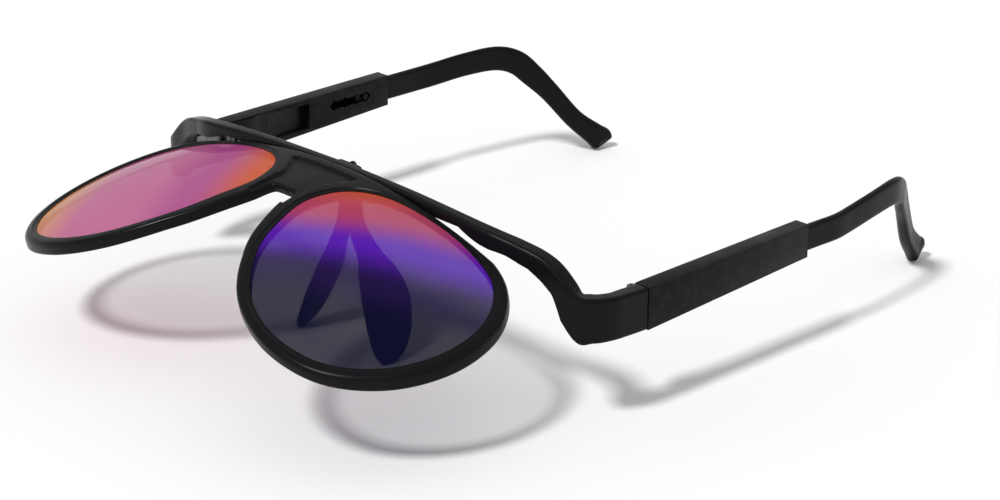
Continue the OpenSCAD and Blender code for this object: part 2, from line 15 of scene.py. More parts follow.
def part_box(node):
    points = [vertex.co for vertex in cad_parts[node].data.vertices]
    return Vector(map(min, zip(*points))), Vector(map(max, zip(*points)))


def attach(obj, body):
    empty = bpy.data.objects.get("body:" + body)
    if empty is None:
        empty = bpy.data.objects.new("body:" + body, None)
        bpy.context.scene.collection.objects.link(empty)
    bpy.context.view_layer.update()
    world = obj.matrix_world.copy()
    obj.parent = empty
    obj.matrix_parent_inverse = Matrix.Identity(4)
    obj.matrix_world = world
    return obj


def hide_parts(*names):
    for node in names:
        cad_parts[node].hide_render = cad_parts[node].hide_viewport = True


bl_info = {
    "name": "Flip-up Sunglasses",
    "version": (1, 0, 0),
    "blender": (4, 5, 0),
    "location": "View3D > Sidebar > Glasses",
    "description": "Builds the lens front, brow bar, nose piece and temples of flip-up sunglasses",
    "category": "Add Mesh",
}

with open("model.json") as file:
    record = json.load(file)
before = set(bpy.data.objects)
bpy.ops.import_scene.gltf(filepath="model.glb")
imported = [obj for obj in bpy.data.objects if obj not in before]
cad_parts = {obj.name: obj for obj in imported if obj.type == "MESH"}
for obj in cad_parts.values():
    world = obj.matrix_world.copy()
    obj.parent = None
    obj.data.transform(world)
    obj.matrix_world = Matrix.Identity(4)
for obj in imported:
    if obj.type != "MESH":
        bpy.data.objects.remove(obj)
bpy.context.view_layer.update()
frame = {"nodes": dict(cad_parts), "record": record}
MM = 0.001
JOINTS = {joint["name"]: joint for joint in frame["record"]["behaviour"]["joints"]}
SIDES = (("left", -1.0), ("right", 1.0))


def node_box(name):
    """Lowest and highest corner of a CAD node, in millimetres."""
    low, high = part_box(name)
    return np.array(low) / MM, np.array(high) / MM


BROW_TOP = float(node_box("brow_frame")[1][2])
SLEEVE_LOW, SLEEVE_HIGH = node_box("temple_sleeve_right")
ROD_LOW = node_box("temple_rod_right")[0]
HINGE_Y, HINGE_Z = (value / MM for value in JOINTS["flip_hinge"]["pos_m"][1:])
FOLD_X, FOLD_Y = (value / MM for value in JOINTS["temple_fold_right"]["pos_m"][:2])

# Front of the brow bar, the end pieces where they meet the sleeves, half the width over them, and
# the thickness of the end pieces and of the bar
BROW_Y = HINGE_Y + 0.4
END_Y = FOLD_Y - 0.1
HALF_WIDTH = 69.3
END_T = 3.8
BROW_T = 2.6
# Sleeves: height and thickness at the hinge and at the other end, how far the outer side comes in,
# and the rod's middle under the outer side and its top under the sleeve's
SLEEVE_H = 9.2
SLEEVE_END_H = 7.4
SLEEVE_T = 4.0
SLEEVE_END_T = 3.6
SLEEVE_INWARD = 0.7
ROD_WALL = 1.75
ROD_ROOF = 0.9
# Rounding of the stem's and the rods' corners, as a share of their thickness
OVAL = 0.42
# Stud's middle before the sleeve's end, notches, and half the height of a notch and of their slot
STUD_BACK = 6.9
NOTCHES = 4
NOTCH_HALF = 1.45
SLOT_HALF = 0.95
# Pocket in the sleeve: where it starts, is deepest and ends, its depth, foot and top
POCKET_START = 12
POCKET_DEEP = 23.6
POCKET_END = 24.6
POCKET_D = 1.6
POCKET_FOOT = 2.2
POCKET_HEAD = 8.4
# Room round the rod and the hinge leaf, and radius of the room for the temple hinge's knuckles
SLIDE_ROOM = 0.15
LEAF_ROOM = 0.05
KNUCKLE_R = 1.45

# Lens opening as shares of its width from the nose and of its height from the top
LENS_SHAPE = ((0, 0.27), (0.062, 0.11), (0.207, 0.02), (0.44, 0), (0.672, 0.026), (0.866, 0.109),
              (0.983, 0.303), (1, 0.555), (0.915, 0.8), (0.74, 0.969), (0.508, 1), (0.285, 0.9),
              (0.11, 0.681), (0.025, 0.445))


def length(name, description, default):
    """A size that a user can change, in millimetres unless its description says otherwise."""
    return bpy.props.FloatProperty(name=name, description=description, default=default)


def colour(name, description, default):
    """A colour that a user can change."""
    return bpy.props.FloatVectorProperty(name=name, description=description, subtype="COLOR", default=default)


# Groove for the lenses: its depth, the room before and behind the lens, and how far the lens reaches in
GROOVE_D = 0.84
LENS_ROOM = 0.05
LENS_REACH = 0.75
# Flat boss under the bridge: half its width, its length, its height over the hinge line
BOSS_HALF = 7.9
BOSS_L = 5.9
BOSS_N = 1.31
# Recessed panel: its side in from the lens openings, where its taper ends, and its end past the notch
PANEL_SIDE = 2.6
PANEL_TURN = 8.4
PANEL_END = 18.0
# Rounding under the rims, and columns round each half of the front
UNDER_ROUND = 0.7
FRONT_COLUMNS = 640


class FrontSizes(bpy.types.PropertyGroup):
    """Sizes of the lens front, in millimetres."""
    lens_w: length("Lens width", "Width of each lens opening", 51.6)
    lens_h: length("Lens height", "Height of each lens opening", 45.8)
    lens_space: length("Space", "Space between the openings", 16.6)
    lens_top: length("Lens top", "Hinge line to the openings", 1.1)
    radius: length("Front radius", "Radius of the sphere", 147.0)
    sphere_s: length("Sphere place", "Sphere's middle down the lens", 24.5)
    sphere_n: length("Sphere top", "Sphere's top over the hinge line", 6.1)
    slope: length("Slope", "Slope of the raised front in degrees", 13.2)
    rim_w: length("Rim width", "Width of the rims", 2.8)
    nose_rim_w: length("Nose rim", "Rim width beside the bridge", 4.2)
    rim_t: length("Rim depth", "Depth of the rims", 2.9)
    rim_round: length("Rim rounding", "Rounding of the outer edge", 0.9)
    lip_w: length("Lip width", "Width of the step round each lens", 0.7)
    lip_d: length("Lip depth", "Depth of that step", 0.3)
    bridge_h: length("Bridge length", "Hinge line to the notch", 13.0)
    notch_half: length("Notch", "Half the notch's width at its top", 4.1)
    panel_half: length("Panel", "Half the panel's width at its top", 10.0)
    panel_top: length("Panel top", "Hinge line to the panel", 1.6)
    panel_d: length("Panel depth", "Depth of the recessed panel", 0.6)
    lens_inset: length("Lens inset", "Rim's front down to the lens", 0.6)
    lens_t: length("Lens thickness", "Thickness of the lenses", 1.6)


class TempleSizes(bpy.types.PropertyGroup):
    """Sizes of the temples, in millimetres."""
    sleeve_edge: length("Sleeve edge", "Rounding of its edges", 0.45)
    rod_h: length("Rod height", "Height of the sliding rod", 5.8)
    rod_t: length("Rod thickness", "Thickness of the rod", 1.8)
    rod_grip: length("Grip", "Rod length in the sleeve", 9.4)
    rod_out: length("Straight", "Straight rod outside the sleeve", 11.0)
    stud_d: length("Stud", "Diameter of the stud", 1.7)
    notch_pitch: length("Pitch", "Distance between notches", 3.3)


class Colours(bpy.types.PropertyGroup):
    """Colours of the plastic, the lens coating with its painted reflection, and the stage."""
    plastic: colour("Plastic", "Moulded plastic", (0.004, 0.0042, 0.0048))
    dusty: colour("Worn plastic", "Plastic on worn edges", (0.016, 0.016, 0.017))
    # Lens bands: the coating's hues with a painted reflection, as each lens is seen from one view, so the far
    # lens gets other hues than the near one
    orange: colour("Coating, orange", "Coating at the hinge", (0.52, 0.08, 0.02))
    rose: colour("Coating, rose", "Coating between orange and violet", (0.38, 0.045, 0.11))
    violet: colour("Coating, violet", "Coating in the middle", (0.085, 0.009, 0.38))
    dusk: colour("Lens, dusk", "Near lens towards its lower edge", (0.012, 0.004, 0.05))
    smoke: colour("Lens, smoke", "Near lens at its lower edge", (0.002, 0.002, 0.02))
    magenta: colour("Coating, magenta", "Far lens in the middle", (0.36, 0.06, 0.22))
    pink: colour("Coating, pink", "Far lens beyond the middle", (0.44, 0.11, 0.24))
    peach: colour("Coating, peach", "Far lens at its outer edge", (0.55, 0.24, 0.10))
    floor: colour("Floor", "Floor and backdrop", (0.9, 0.9, 0.9))


def front():
    return bpy.context.scene.glasses_front


def temple():
    return bpy.context.scene.glasses_temple


def colours():
    return bpy.context.scene.glasses_colours


# Curves and surfaces


def curve_points(points, samples, closed):
    """Catmull-Rom curve through the points: each stretch is a cubic of its four nearest points."""
    p = np.asarray(points, dtype=float)
    count = len(p)
    u = np.linspace(0, count if closed else count - 1, samples, endpoint=not closed)
    i = np.minimum(u.astype(int), count - 1 if closed else count - 2)
    t = (u - i)[:, None]
    if closed:
        a, b, c, d = p[i - 1], p[i], p[(i + 1) % count], p[(i + 2) % count]
    else:
        a, b, c, d = p[np.maximum(i - 1, 0)], p[i], p[i + 1], p[np.minimum(i + 2, count - 1)]
    return 0.5 * (2 * b + (c - a) * t + (2 * a - 5 * b + 4 * c - d) * t ** 2
                  + (3 * b - a - 3 * c + d) * t ** 3)


def even_stations(points, lengths):
    """Points of a polyline at the given shares of its length."""
    steps = np.linalg.norm(np.diff(points, axis=0), axis=1)
    run = np.concatenate([[0], np.cumsum(steps)])
    want = np.asarray(lengths) * run[-1]
    return np.stack([np.interp(want, run, points[:, k]) for k in range(points.shape[1])], axis=1)


def outward(points):
    """Unit normals of a closed counter-clockwise outline, pointing out of it."""
    tangent = np.roll(points, -1, axis=0) - np.roll(points, 1, axis=0)
    tangent /= np.linalg.norm(tangent, axis=1)[:, None]
    return np.stack([tangent[:, 1], -tangent[:, 0]], axis=1)


def distance_to(points, line):
    """Distance from each point to the nearest place on a polyline."""
    a, b = line[:-1], line[1:]
    ab = b - a
    q = points[..., None, :]
    share = np.clip(((q - a) * ab).sum(-1) / np.maximum((ab ** 2).sum(-1), 1e-12), 0, 1)
    return np.linalg.norm(q - (a + share[..., None] * ab), axis=-1).min(-1)


def inside(points, corners):
    """How far inside a convex counter-clockwise polygon each point lies; negative outside."""
    a = np.asarray(corners, dtype=float)
    ab = np.roll(a, -1, axis=0) - a
    ab /= np.linalg.norm(ab, axis=1)[:, None]
    q = points[..., None, :] - a
    return (ab[:, 0] * q[..., 1] - ab[:, 1] * q[..., 0]).min(-1)


def smooth_step(value, low, high):
    share = np.clip((value - low) / (high - low), 0, 1)
    return share * share * (3 - 2 * share)


def mesh_object(name, points, faces, smooth=True):
    """A mesh object from points in millimetres."""
    mesh = bpy.data.meshes.new(name)
    mesh.from_pydata((np.asarray(points) * MM).tolist(), [], [list(face) for face in faces])
    mesh.validate()
    mesh.polygons.foreach_set("use_smooth", [smooth] * len(mesh.polygons))
    mesh.update()
    piece = bpy.data.objects.new(name, mesh)
    bpy.context.scene.collection.objects.link(piece)
    return piece


def grid_faces(rows, columns, wrap_rows, wrap_columns, first=0):
    """Quads of a grid of points numbered row by row."""
    i, j = np.meshgrid(np.arange(rows if wrap_rows else rows - 1),
                       np.arange(columns if wrap_columns else columns - 1), indexing="ij")
    i, j = i.ravel(), j.ravel()
    k, m = (i + 1) % rows, (j + 1) % columns
    return np.stack([i * columns + j, k * columns + j, k * columns + m, i * columns + m], axis=1) + first


def tube(name, rings):
    """Closed skin over rings of points, with a flat cap on each end."""
    rings = np.asarray(rings)
    rows, columns = rings.shape[:2]
    faces = grid_faces(rows, columns, False, True).tolist()
    faces.append(list(range(columns)))
    faces.append(list(range(rows * columns - 1, (rows - 1) * columns - 1, -1)))
    piece = mesh_object(name, rings.reshape(-1, 3), faces)
    face_out(piece)
    return piece


def face_out(piece, merge=0.0):
    """Turns every face of a closed mesh outwards, after merging doubles."""
    data = bmesh.new()
    data.from_mesh(piece.data)
    if merge:
        bmesh.ops.remove_doubles(data, verts=data.verts, dist=merge * MM)
    bmesh.ops.recalc_face_normals(data, faces=data.faces)
    data.to_mesh(piece.data)
    data.free()
    piece.data.update()


def apply_modifiers(piece):
    """Keeps the evaluated mesh and drops the modifiers."""
    graph = bpy.context.evaluated_depsgraph_get()
    graph.update()
    mesh = bpy.data.meshes.new_from_object(piece.evaluated_get(graph))
    piece.modifiers.clear()
    piece.data = mesh


def keep_sharp(piece, degrees=34):
    """Smooth faces, with edges over the angle left sharp."""
    data = bmesh.new()
    data.from_mesh(piece.data)
    for edge in data.edges:
        edge.smooth = len(edge.link_faces) != 2 or edge.calc_face_angle(0) < math.radians(degrees)
    for face in data.faces:
        face.smooth = True
    data.to_mesh(piece.data)
    data.free()


def rounded_section(width, height, radius, sides=(10, 4, 10, 4), corner=5):
    """Rounded rectangle, counter-clockwise from the right side, with points along its straights."""
    w, h, r = width / 2, height / 2, radius
    corners = ((w - r, h - r, 0), (-w + r, h - r, 90), (-w + r, -h + r, 180), (w - r, -h + r, 270))
    starts = ((w, -h + r), (w - r, h), (-w, h - r), (-w + r, -h))
    points = []
    for (cx, cy, turn), (sx, sy), count in zip(corners, starts, sides):
        angle = np.radians(turn + np.linspace(0, 90, corner))
        arc = np.stack([cx + r * np.cos(angle), cy + r * np.sin(angle)], axis=1)
        run = np.linspace((sx, sy), arc[0], count, endpoint=False)
        points += [run, arc[:-1]]
    return np.concatenate(points)


def finish_piece(piece, body, material, slot, *nodes):
    """Gives the piece its material and body, and hides the nodes that it stands for; the slot argument is not
    used.
    """
    piece.data.materials.clear()
    piece.data.materials.append(bpy.data.materials[material])
    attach(piece, body)
    if nodes:
        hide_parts(*nodes)


# Lens front


def on_front(x, s, n):
    """Frame place of points given across the front, down the lens and out of it."""
    slope = math.radians(front().slope)
    y = HINGE_Y - s * math.cos(slope) - n * math.sin(slope)
    z = HINGE_Z - s * math.sin(slope) + n * math.cos(slope)
    return np.stack(np.broadcast_arrays(x, y, z), axis=-1)


def front_height(x, s, depth):
    """Height over the hinge line of a sphere that lies this deep under the front surface."""
    size = front()
    return (size.sphere_n - size.radius
            + np.sqrt((size.radius - depth) ** 2 - x ** 2 - (s - size.sphere_s) ** 2))


def opening_outline(samples=1400):
    size = front()
    points = [(size.lens_space / 2 + u * size.lens_w, size.lens_top + v * size.lens_h) for u, v in LENS_SHAPE]
    return curve_points(points, samples, closed=True)


def back_edge(x, depth, behind=0.25):
    """Distance down the lens at which the straight back edge cuts a sphere this deep."""
    slope = math.radians(front().slope)
    s = np.zeros_like(x)
    for _ in range(6):
        n = front_height(x, s, depth)
        s = -(behind + n * math.sin(slope)) / math.cos(slope)
    return s


def rim_width(points):
    """Width of the rim round each place of the opening: it swells within 22 mm of the notch's corner."""
    size = front()
    away = np.linalg.norm(points - (size.lens_space / 2, size.bridge_h), axis=1)
    swell = np.clip(1 - np.clip(away - 4, 0, None) / 18, 0, None)
    return (size.rim_w + (size.nose_rim_w - size.rim_w) * swell)[:, None]


# Shares of the way round the opening: the notch's corner, the top's middle, and the stretches that
# face the notch and the middle of the bridge
CORNER_SHARE = 0.982
TOP_SHARE = 0.25
NOTCH_SHARE = 0.03
MIDDLE_SHARE = 0.105
# Back edge of the underside, from the hinge line down: beside the boss, and where the boss starts
LOW_BACK = 0.2
BOSS_BACK = 1.45


def outer_outline(opening, depth, low):
    """Outer outline of the right half, matched point for point to the opening.

    It runs from the notch's corner along the notch to the middle, up the middle to the back edge,
    along the back edge, and round the rim back to the corner.
    """
    size = front()
    rim = opening + rim_width(opening) * outward(opening)
    count = len(opening)
    back = back_edge(rim[:, 0], depth)
    if low:
        back = np.maximum(back, LOW_BACK)
    # First place past the top's middle where the rim clears the back edge
    clear = rim[:, 1] > back
    corner_at = int(count * CORNER_SHARE)
    first = int(count * TOP_SHARE)
    leave = first + int(np.argmax(clear[first:]))
    corner = rim[corner_at]
    notch = curve_points([corner, (size.notch_half * 0.86, size.bridge_h + 0.35),
                          (size.notch_half * 0.5, size.bridge_h), (0.0, size.bridge_h)], 60, closed=False)
    top_s = BOSS_BACK if low else back_edge(np.zeros(1), depth)[0]
    middle = np.linspace((0.0, size.bridge_h), (0.0, top_s), 40)
    x = np.linspace(0, rim[leave][0], 300)
    edge = back_edge(x, depth)
    if low:
        on_boss = 1 - smooth_step(x, BOSS_HALF - 0.2, BOSS_HALF + 0.7)
        edge = np.maximum(edge, LOW_BACK + (BOSS_BACK - LOW_BACK) * on_boss)
    edge_line = np.stack([x, edge], axis=1)
    # Stretches of the opening that face the notch, the middle and the back edge
    u = (np.arange(count) - corner_at) % count
    marks = [0, int(count * NOTCH_SHARE), int(count * MIDDLE_SHARE), (leave - corner_at) % count]
    outer = rim.copy()
    for line, start, stop in ((notch, marks[0], marks[1]), (middle, marks[1], marks[2]),
                              (edge_line, marks[2], marks[3])):
        here = (u >= start) & (u <= stop)
        outer[here] = even_stations(line, (u[here] - start) / (stop - start))
    return outer, u, marks


def even_order(u, marks, count):
    """Shares of the way round at which columns stand, closer together beside the bridge."""
    weight = np.where(u < marks[2] + count * NOTCH_SHARE, 3.2, np.where(u < marks[3], 1.2, 1.0))
    order = np.argsort(u)
    run = np.cumsum(weight[order])
    return order, run / run[-1]


def across(width, near, far, middle):
    """Distances across a strip of each width: near steps, an even middle, then far steps to its edge."""
    near, far = np.asarray(near), np.asarray(far)
    scale = np.minimum(1, width / (near[-1] + far[0] + 0.3))[:, None]
    start, stop = near[-1] * scale, width[:, None] - far[0] * scale
    share = np.linspace(0, 1, middle + 2)[1:-1][None]
    even = start + (stop - start) * share
    return np.concatenate([near * scale, even, width[:, None] - far * scale], axis=1)


def rounding(distance, radius):
    """Depth of a quarter-round edge at this distance in from the edge."""
    lack = np.clip(radius - distance, 0, radius)
    return radius - np.sqrt(np.maximum(radius ** 2 - lack ** 2, 0))


def front_half():
    """Points of the right half of the lens front, column by column, and which columns lie on the middle.

    Each column runs across the front face from the lens to the outer edge, down the wall, back
    under the rim and up through the groove for the lens. The face is the sphere lowered by the lip,
    the edge rounding and the recessed panel.
    """
    size = front()
    opening = opening_outline()
    count = len(opening)
    top, u, marks = outer_outline(opening, 0.0, False)
    low = outer_outline(opening, size.rim_t, True)[0]
    order, run = even_order(u, marks, count)
    picks = np.searchsorted(run, (np.arange(FRONT_COLUMNS) + 0.5) / FRONT_COLUMNS)
    picks = np.unique(np.concatenate([picks, np.searchsorted(np.sort(u), marks)]))
    place = order[np.minimum(picks, count - 1)]
    at = u[place]
    inner, top, low = opening[place], top[place], low[place]
    on_middle = (at >= marks[1]) & (at <= marks[2])
    free = np.concatenate([top[at >= marks[2]], top[at <= marks[1]]])
    free_low = np.concatenate([low[at >= marks[2]], low[at <= marks[1]]])
    closed = np.concatenate([opening, opening[:1]])

    def spread(outer, distance):
        gap = outer - inner
        width = np.linalg.norm(gap, axis=1)
        return inner[:, None] + gap[:, None] * (distance / width[:, None])[..., None]

    width_top = np.linalg.norm(top - inner, axis=1)
    width_low = np.linalg.norm(low - inner, axis=1)
    face = spread(top, across(width_top, (0, 0.08, 0.2, 0.4, 0.65, 0.85, 0.97, 1.1, 1.22, 1.34, 1.5),
                              (1.1, 0.8, 0.55, 0.34, 0.17, 0.06, 0), 13))
    lip = size.lip_d * (1 - smooth_step(distance_to(face, closed), size.lip_w, size.lip_w + 0.4))
    lip = lip + rounding(distance_to(face, closed), 0.16)
    edge = rounding(distance_to(face, free), size.rim_round)
    half = size.lens_space / 2 - PANEL_SIDE
    upper = [(-size.panel_half, size.panel_top), (size.panel_half, size.panel_top),
             (half, PANEL_TURN), (-half, PANEL_TURN)]
    lower = [(-half, PANEL_TURN - 1.4), (half, PANEL_TURN - 1.4), (half, PANEL_END), (-half, PANEL_END)]
    sunk = smooth_step(np.maximum(inside(face, upper), inside(face, lower)), -0.25, 0.4)
    depth = np.maximum(lip, edge) + size.panel_d * sunk * (face[..., 0] < size.panel_half + 1)
    face_n = front_height(face[..., 0], face[..., 1], depth)

    wall_share = np.linspace(0, 1, 7)[1:-1][None, :, None]
    wall = top[:, None] + (low - top)[:, None] * wall_share
    wall_depth = depth[:, -1:] + (size.rim_t - UNDER_ROUND - depth[:, -1:]) * wall_share[..., 0]
    wall_n = front_height(wall[..., 0], wall[..., 1], wall_depth)

    under = spread(low, across(width_low, (0, 0.15, 0.35, 0.6), (0.7, 0.45, 0.22, 0.07, 0), 9))[:, ::-1]
    lift = np.maximum(rounding(distance_to(under, free_low), UNDER_ROUND),
                      rounding(distance_to(under, closed), 0.4))
    under_n = front_height(under[..., 0], under[..., 1], size.rim_t - lift)
    # Flat boss under the bridge, which the hinge leaf lies against
    seat = 1 - smooth_step(under[..., 0], BOSS_HALF, BOSS_HALF + 0.35)
    seat = seat * (1 - smooth_step(under[..., 1], BOSS_L, BOSS_L + 0.3))
    under_n = under_n * (1 - seat) + BOSS_N * seat

    groove_low, groove_high = size.lens_inset + size.lens_t + LENS_ROOM, size.lens_inset - LENS_ROOM
    groove = np.array([(0, groove_low), (GROOVE_D, groove_low), (GROOVE_D, groove_high), (0, groove_high)])
    hollow = spread(low, np.repeat(groove[None, :, 0], len(place), axis=0))
    hollow_n = front_height(hollow[..., 0], hollow[..., 1], groove[None, :, 1])
    flat = np.concatenate([face, wall, under, hollow], axis=1)
    height = np.concatenate([face_n, wall_n, under_n, hollow_n], axis=1)
    wall_columns = (face.shape[1] - 1, face.shape[1] + wall.shape[1])
    points = on_front(flat[..., 0], flat[..., 1], height)
    points[on_middle, wall_columns[0], 0] = 0
    return points, on_middle, wall_columns


class GLASSES_OT_lens_front(bpy.types.Operator):
    """Lens front: two rims and the bridge in one moulding"""
    bl_idname = "glasses.lens_front"
    bl_label = "Lens front"

    def execute(self, context):
        points, on_middle, (first, last) = front_half()
        rows, columns = points.shape[:2]
        faces = grid_faces(rows, columns, True, True)
        i = np.minimum(faces[:, 0] // columns, rows - 1)
        j = faces[:, 0] % columns
        joined = on_middle[i] & on_middle[(i + 1) % rows] & (j >= first) & (j < last)
        faces = faces[~joined]
        right = points.reshape(-1, 3)
        left = right * (-1, 1, 1)
        both = np.concatenate([faces, faces[:, ::-1] + len(right)])
        piece = mesh_object("lens_front", np.concatenate([right, left]), both)
        data = bmesh.new()
        data.from_mesh(piece.data)
        loose = [vert for vert in data.verts if not vert.link_faces]
        bmesh.ops.delete(data, geom=loose, context="VERTS")
        bmesh.ops.remove_doubles(data, verts=data.verts, dist=0.002 * MM)
        bmesh.ops.recalc_face_normals(data, faces=data.faces)
        data.to_mesh(piece.data)
        data.free()
        keep_sharp(piece, 40)
        finish_piece(piece, "flip_unit", "moulded_plastic", "black_plastic", "lens_frame")
        return {"FINISHED"}


class GLASSES_OT_lenses(bpy.types.Operator):
    """Lenses: spherical shells cut to the opening, with a rounded edge in the groove"""
    bl_idname = "glasses.lenses"
    bl_label = "Lenses"

    def execute(self, context):
        size = front()
        opening = opening_outline(280)
        edge = opening + LENS_REACH * outward(opening)
        centre = edge.mean(axis=0)
        reach = np.concatenate([np.linspace(0.02, 0.97, 44), [0.985, 0.995, 1.0]])
        profile = np.concatenate([np.stack([reach, np.zeros_like(reach)], axis=1),
                                  [(1.0, 0.25), (1.0, 0.75)],
                                  np.stack([reach[::-1], np.ones_like(reach)], axis=1)])
        spread = centre + (edge - centre)[None] * profile[:, None, :1]
        soft = 0.2 * (profile[:, 0] == 1.0) * np.sign(0.5 - profile[:, 1])
        depth = size.lens_inset + size.lens_t * profile[:, 1] + soft
        n = front_height(spread[..., 0], spread[..., 1], depth[:, None])
        rings = on_front(spread[..., 0], spread[..., 1], n)
        for side, sign in SIDES:
            piece = tube("lens_glass_" + side, rings * (sign, 1, 1))
            finish_piece(piece, "flip_unit", "coated_lens_painted_reflection_" + side, "lens_tint", "lens_" + side)
        return {"FINISHED"}


# Brow bar


def brow_rows():
    """Rows of x, front face, top, bottom and thickness along the right half of the brow bar."""
    sleeve_z, sleeve_top = SLEEVE_LOW[2], SLEEVE_LOW[2] + SLEEVE_H
    w = HALF_WIDTH
    return np.array([
        (0, BROW_Y, BROW_TOP, BROW_TOP - 3.2, BROW_T),
        (22, BROW_Y, BROW_TOP - 0.5, BROW_TOP - 3.3, BROW_T + 0.1),
        (w - 27.3, BROW_Y, BROW_TOP - 1.9, BROW_TOP - 6.1, BROW_T + 0.8),
        (w - 18.5, BROW_Y + 2.3, BROW_TOP - 3.8, BROW_TOP - 7.8, END_T + 0.2),
        (w - 11.3, BROW_Y + 4.5, BROW_TOP - 6.2, sleeve_z + 8.4, END_T + 0.2),
        (w - 4.6, BROW_Y + 6.1, sleeve_top + 1.5, sleeve_z + 0.7, END_T + 0.2),
        (w - 1.7, BROW_Y + 9.1, sleeve_top + 0.6, sleeve_z + 0.2, END_T + 0.2),
        (w - 0.2, BROW_Y + 13.2, sleeve_top + 0.4, sleeve_z + 0.2, END_T - 0.2),
        (w, END_Y - 5, sleeve_top + 0.2, sleeve_z + 0.1, END_T),
        (w, END_Y, sleeve_top, sleeve_z, END_T)])


# Room for the rims as they swing down: distance in from the rim's outer side, height of the room
# over the hinge line, and radius round the hinge line that stays solid
RIM_ROOM = np.array([(50.7, 0.3, 0.1), (24.7, 0.3, 0.15), (20.7, 0.3, 1.6), (15.8, -0.1, 3.1),
                     (12.7, -1.1, 4.25), (8.6, -2.8, 6.1), (5.7, -5.4, 8.3), (3.1, -8.4, 10.7),
                     (1.7, -11.7, 13.6), (0.5, -15.0, 17.4), (-0.1, -20.5, 23.6), (-1.3, -28.0, 30.0)])


def rim_room(x, y):
    """Lowest height that the rims leave free: a round bead on the hinge line, then a ceiling behind it."""
    size = front()
    rows = RIM_ROOM
    place = size.lens_space / 2 + size.lens_w + size.rim_w - rows[:, 0]
    ceiling = np.interp(x, place, rows[:, 1])
    radius = np.interp(x, place, rows[:, 2])
    behind = y - HINGE_Y
    bead = -np.sqrt(np.maximum(radius ** 2 - behind ** 2, 0))
    room = HINGE_Z + np.where(behind < radius, np.minimum(bead, ceiling), ceiling)
    return np.where((x > place[0]) & (x < place[-1]), room, 0.0)


# Samples along half the brow bar, of which every fifteenth carries a slab, and the slabs' rounding
BROW_SAMPLES = 1801
BROW_STEP = 15
BROW_ROUND = 0.75
# Hinge block: half its length and how far it hangs under the hinge line
BLOCK_HALF = 8.5
BLOCK_DROP = 1.25
# Hollow for the flip hinge's knuckles: half its length and its radius
HOLLOW_HALF = 7.7
HOLLOW_R = 1.35
# How far the flat face on each end of the brow bar stands in from its corners
END_ROUND = 0.25


def brow_rings():
    """Rounded slabs carried along the brow rows, with the underside raised where the rims tuck in
    and the front hollowed round the flip hinge."""
    rows = curve_points(brow_rows(), BROW_SAMPLES, closed=False)
    heading = np.gradient(rows[:, :2], axis=0)
    # Even stations, and closer ones where the hinge block starts and ends
    block = np.searchsorted(rows[:200, 0], [1.5, 4.0, 6.0, HOLLOW_HALF - 0.1, HOLLOW_HALF + 0.1,
                                            BLOCK_HALF - 0.05, BLOCK_HALF + 0.05, BLOCK_HALF + 0.7])
    stations = np.unique(np.concatenate([np.arange(0, len(rows), BROW_STEP), block, [len(rows) - 1]]))
    path, heading = rows[stations], heading[stations]
    heading = heading / np.linalg.norm(heading, axis=1)[:, None]
    bottom = np.where(path[:, 0] < BLOCK_HALF, HINGE_Z - BLOCK_DROP, path[:, 3])
    rings = []
    for (x, y, top, _, thick), (ux, uy), low in zip(path, heading, bottom):
        section = rounded_section(thick, top - low, BROW_ROUND, (9, 5, 14, 9), 5)
        inward = thick / 2 + section[:, 0]
        rings.append(np.stack([x - inward * uy, y + inward * ux, (top + low) / 2 + section[:, 1]], axis=1))
    rings = np.array(rings)
    x, y, z = rings[..., 0], rings[..., 1], rings[..., 2]
    z = np.maximum(z, rim_room(x, y))
    hollow = HINGE_Y + np.sqrt(np.maximum(HOLLOW_R ** 2 - (z - HINGE_Z) ** 2, 0))
    y = np.where((x < HOLLOW_HALF) & (y < hollow), hollow, y)
    return np.stack([x, y, z], axis=-1)


class GLASSES_OT_brow_bar(bpy.types.Operator):
    """Brow bar: one moulding from end piece to end piece"""
    bl_idname = "glasses.brow_bar"
    bl_label = "Brow bar"

    def execute(self, context):
        right = brow_rings()
        left = right[::-1] * (-1, 1, 1)
        end = right[-1]
        centre = end.mean(axis=0)
        cap = centre + (end - centre) * (1 - END_ROUND / np.linalg.norm(end - centre, axis=1))[:, None]
        right[-1, :, 1] -= END_ROUND
        left[0, :, 1] -= END_ROUND
        rings = np.concatenate([(cap * (-1, 1, 1))[None], left[:-1], right, cap[None]])
        piece = tube("brow_bar", rings)
        face_out(piece, 0.002)
        cut_end_pockets(piece)
        keep_sharp(piece, 34)
        finish_piece(piece, "frame", "moulded_plastic", "black_plastic", "brow_frame")
        return {"FINISHED"}


def box_mesh(name, low, high):
    """A plain cutter box."""
    x, y, z = zip(low, high)
    corners = [(x[i], y[j], z[k]) for i in (0, 1) for j in (0, 1) for k in (0, 1)]
    faces = [(0, 1, 3, 2), (4, 6, 7, 5), (0, 4, 5, 1), (2, 3, 7, 6), (0, 2, 6, 4), (1, 5, 7, 3)]
    return mesh_object(name, corners, faces, smooth=False)


def prism(name, outline, axis, low, high):
    """A straight cutter over an outline: axis 0 runs along X with the outline in Y and Z."""
    outline = np.asarray(outline, dtype=float)
    ends = []
    for level in (low, high):
        ends.append(np.insert(outline, axis, level, axis=1))
    count = len(outline)
    faces = [list(range(count)), list(range(2 * count - 1, count - 1, -1))]
    faces += [[i, i + count, (i + 1) % count + count, (i + 1) % count] for i in range(count)]
    cutter = mesh_object(name, np.concatenate(ends), faces, smooth=False)
    face_out(cutter)
    return cutter


def circle(y, z, radius, count=24):
    angle = np.linspace(0, 2 * math.pi, count, endpoint=False)
    return np.stack([y + radius * np.cos(angle), z + radius * np.sin(angle)], axis=1)


def combine(piece, others, operation, solver="EXACT"):
    """Joins the others to a piece or takes them out of it, and removes them."""
    for other in others:
        modifier = piece.modifiers.new("shape", "BOOLEAN")
        modifier.operation = operation
        modifier.solver = solver
        modifier.object = other
    apply_modifiers(piece)
    for other in others:
        bpy.data.objects.remove(other)


def cut(piece, cutters, solver="EXACT"):
    combine(piece, cutters, "DIFFERENCE", solver)


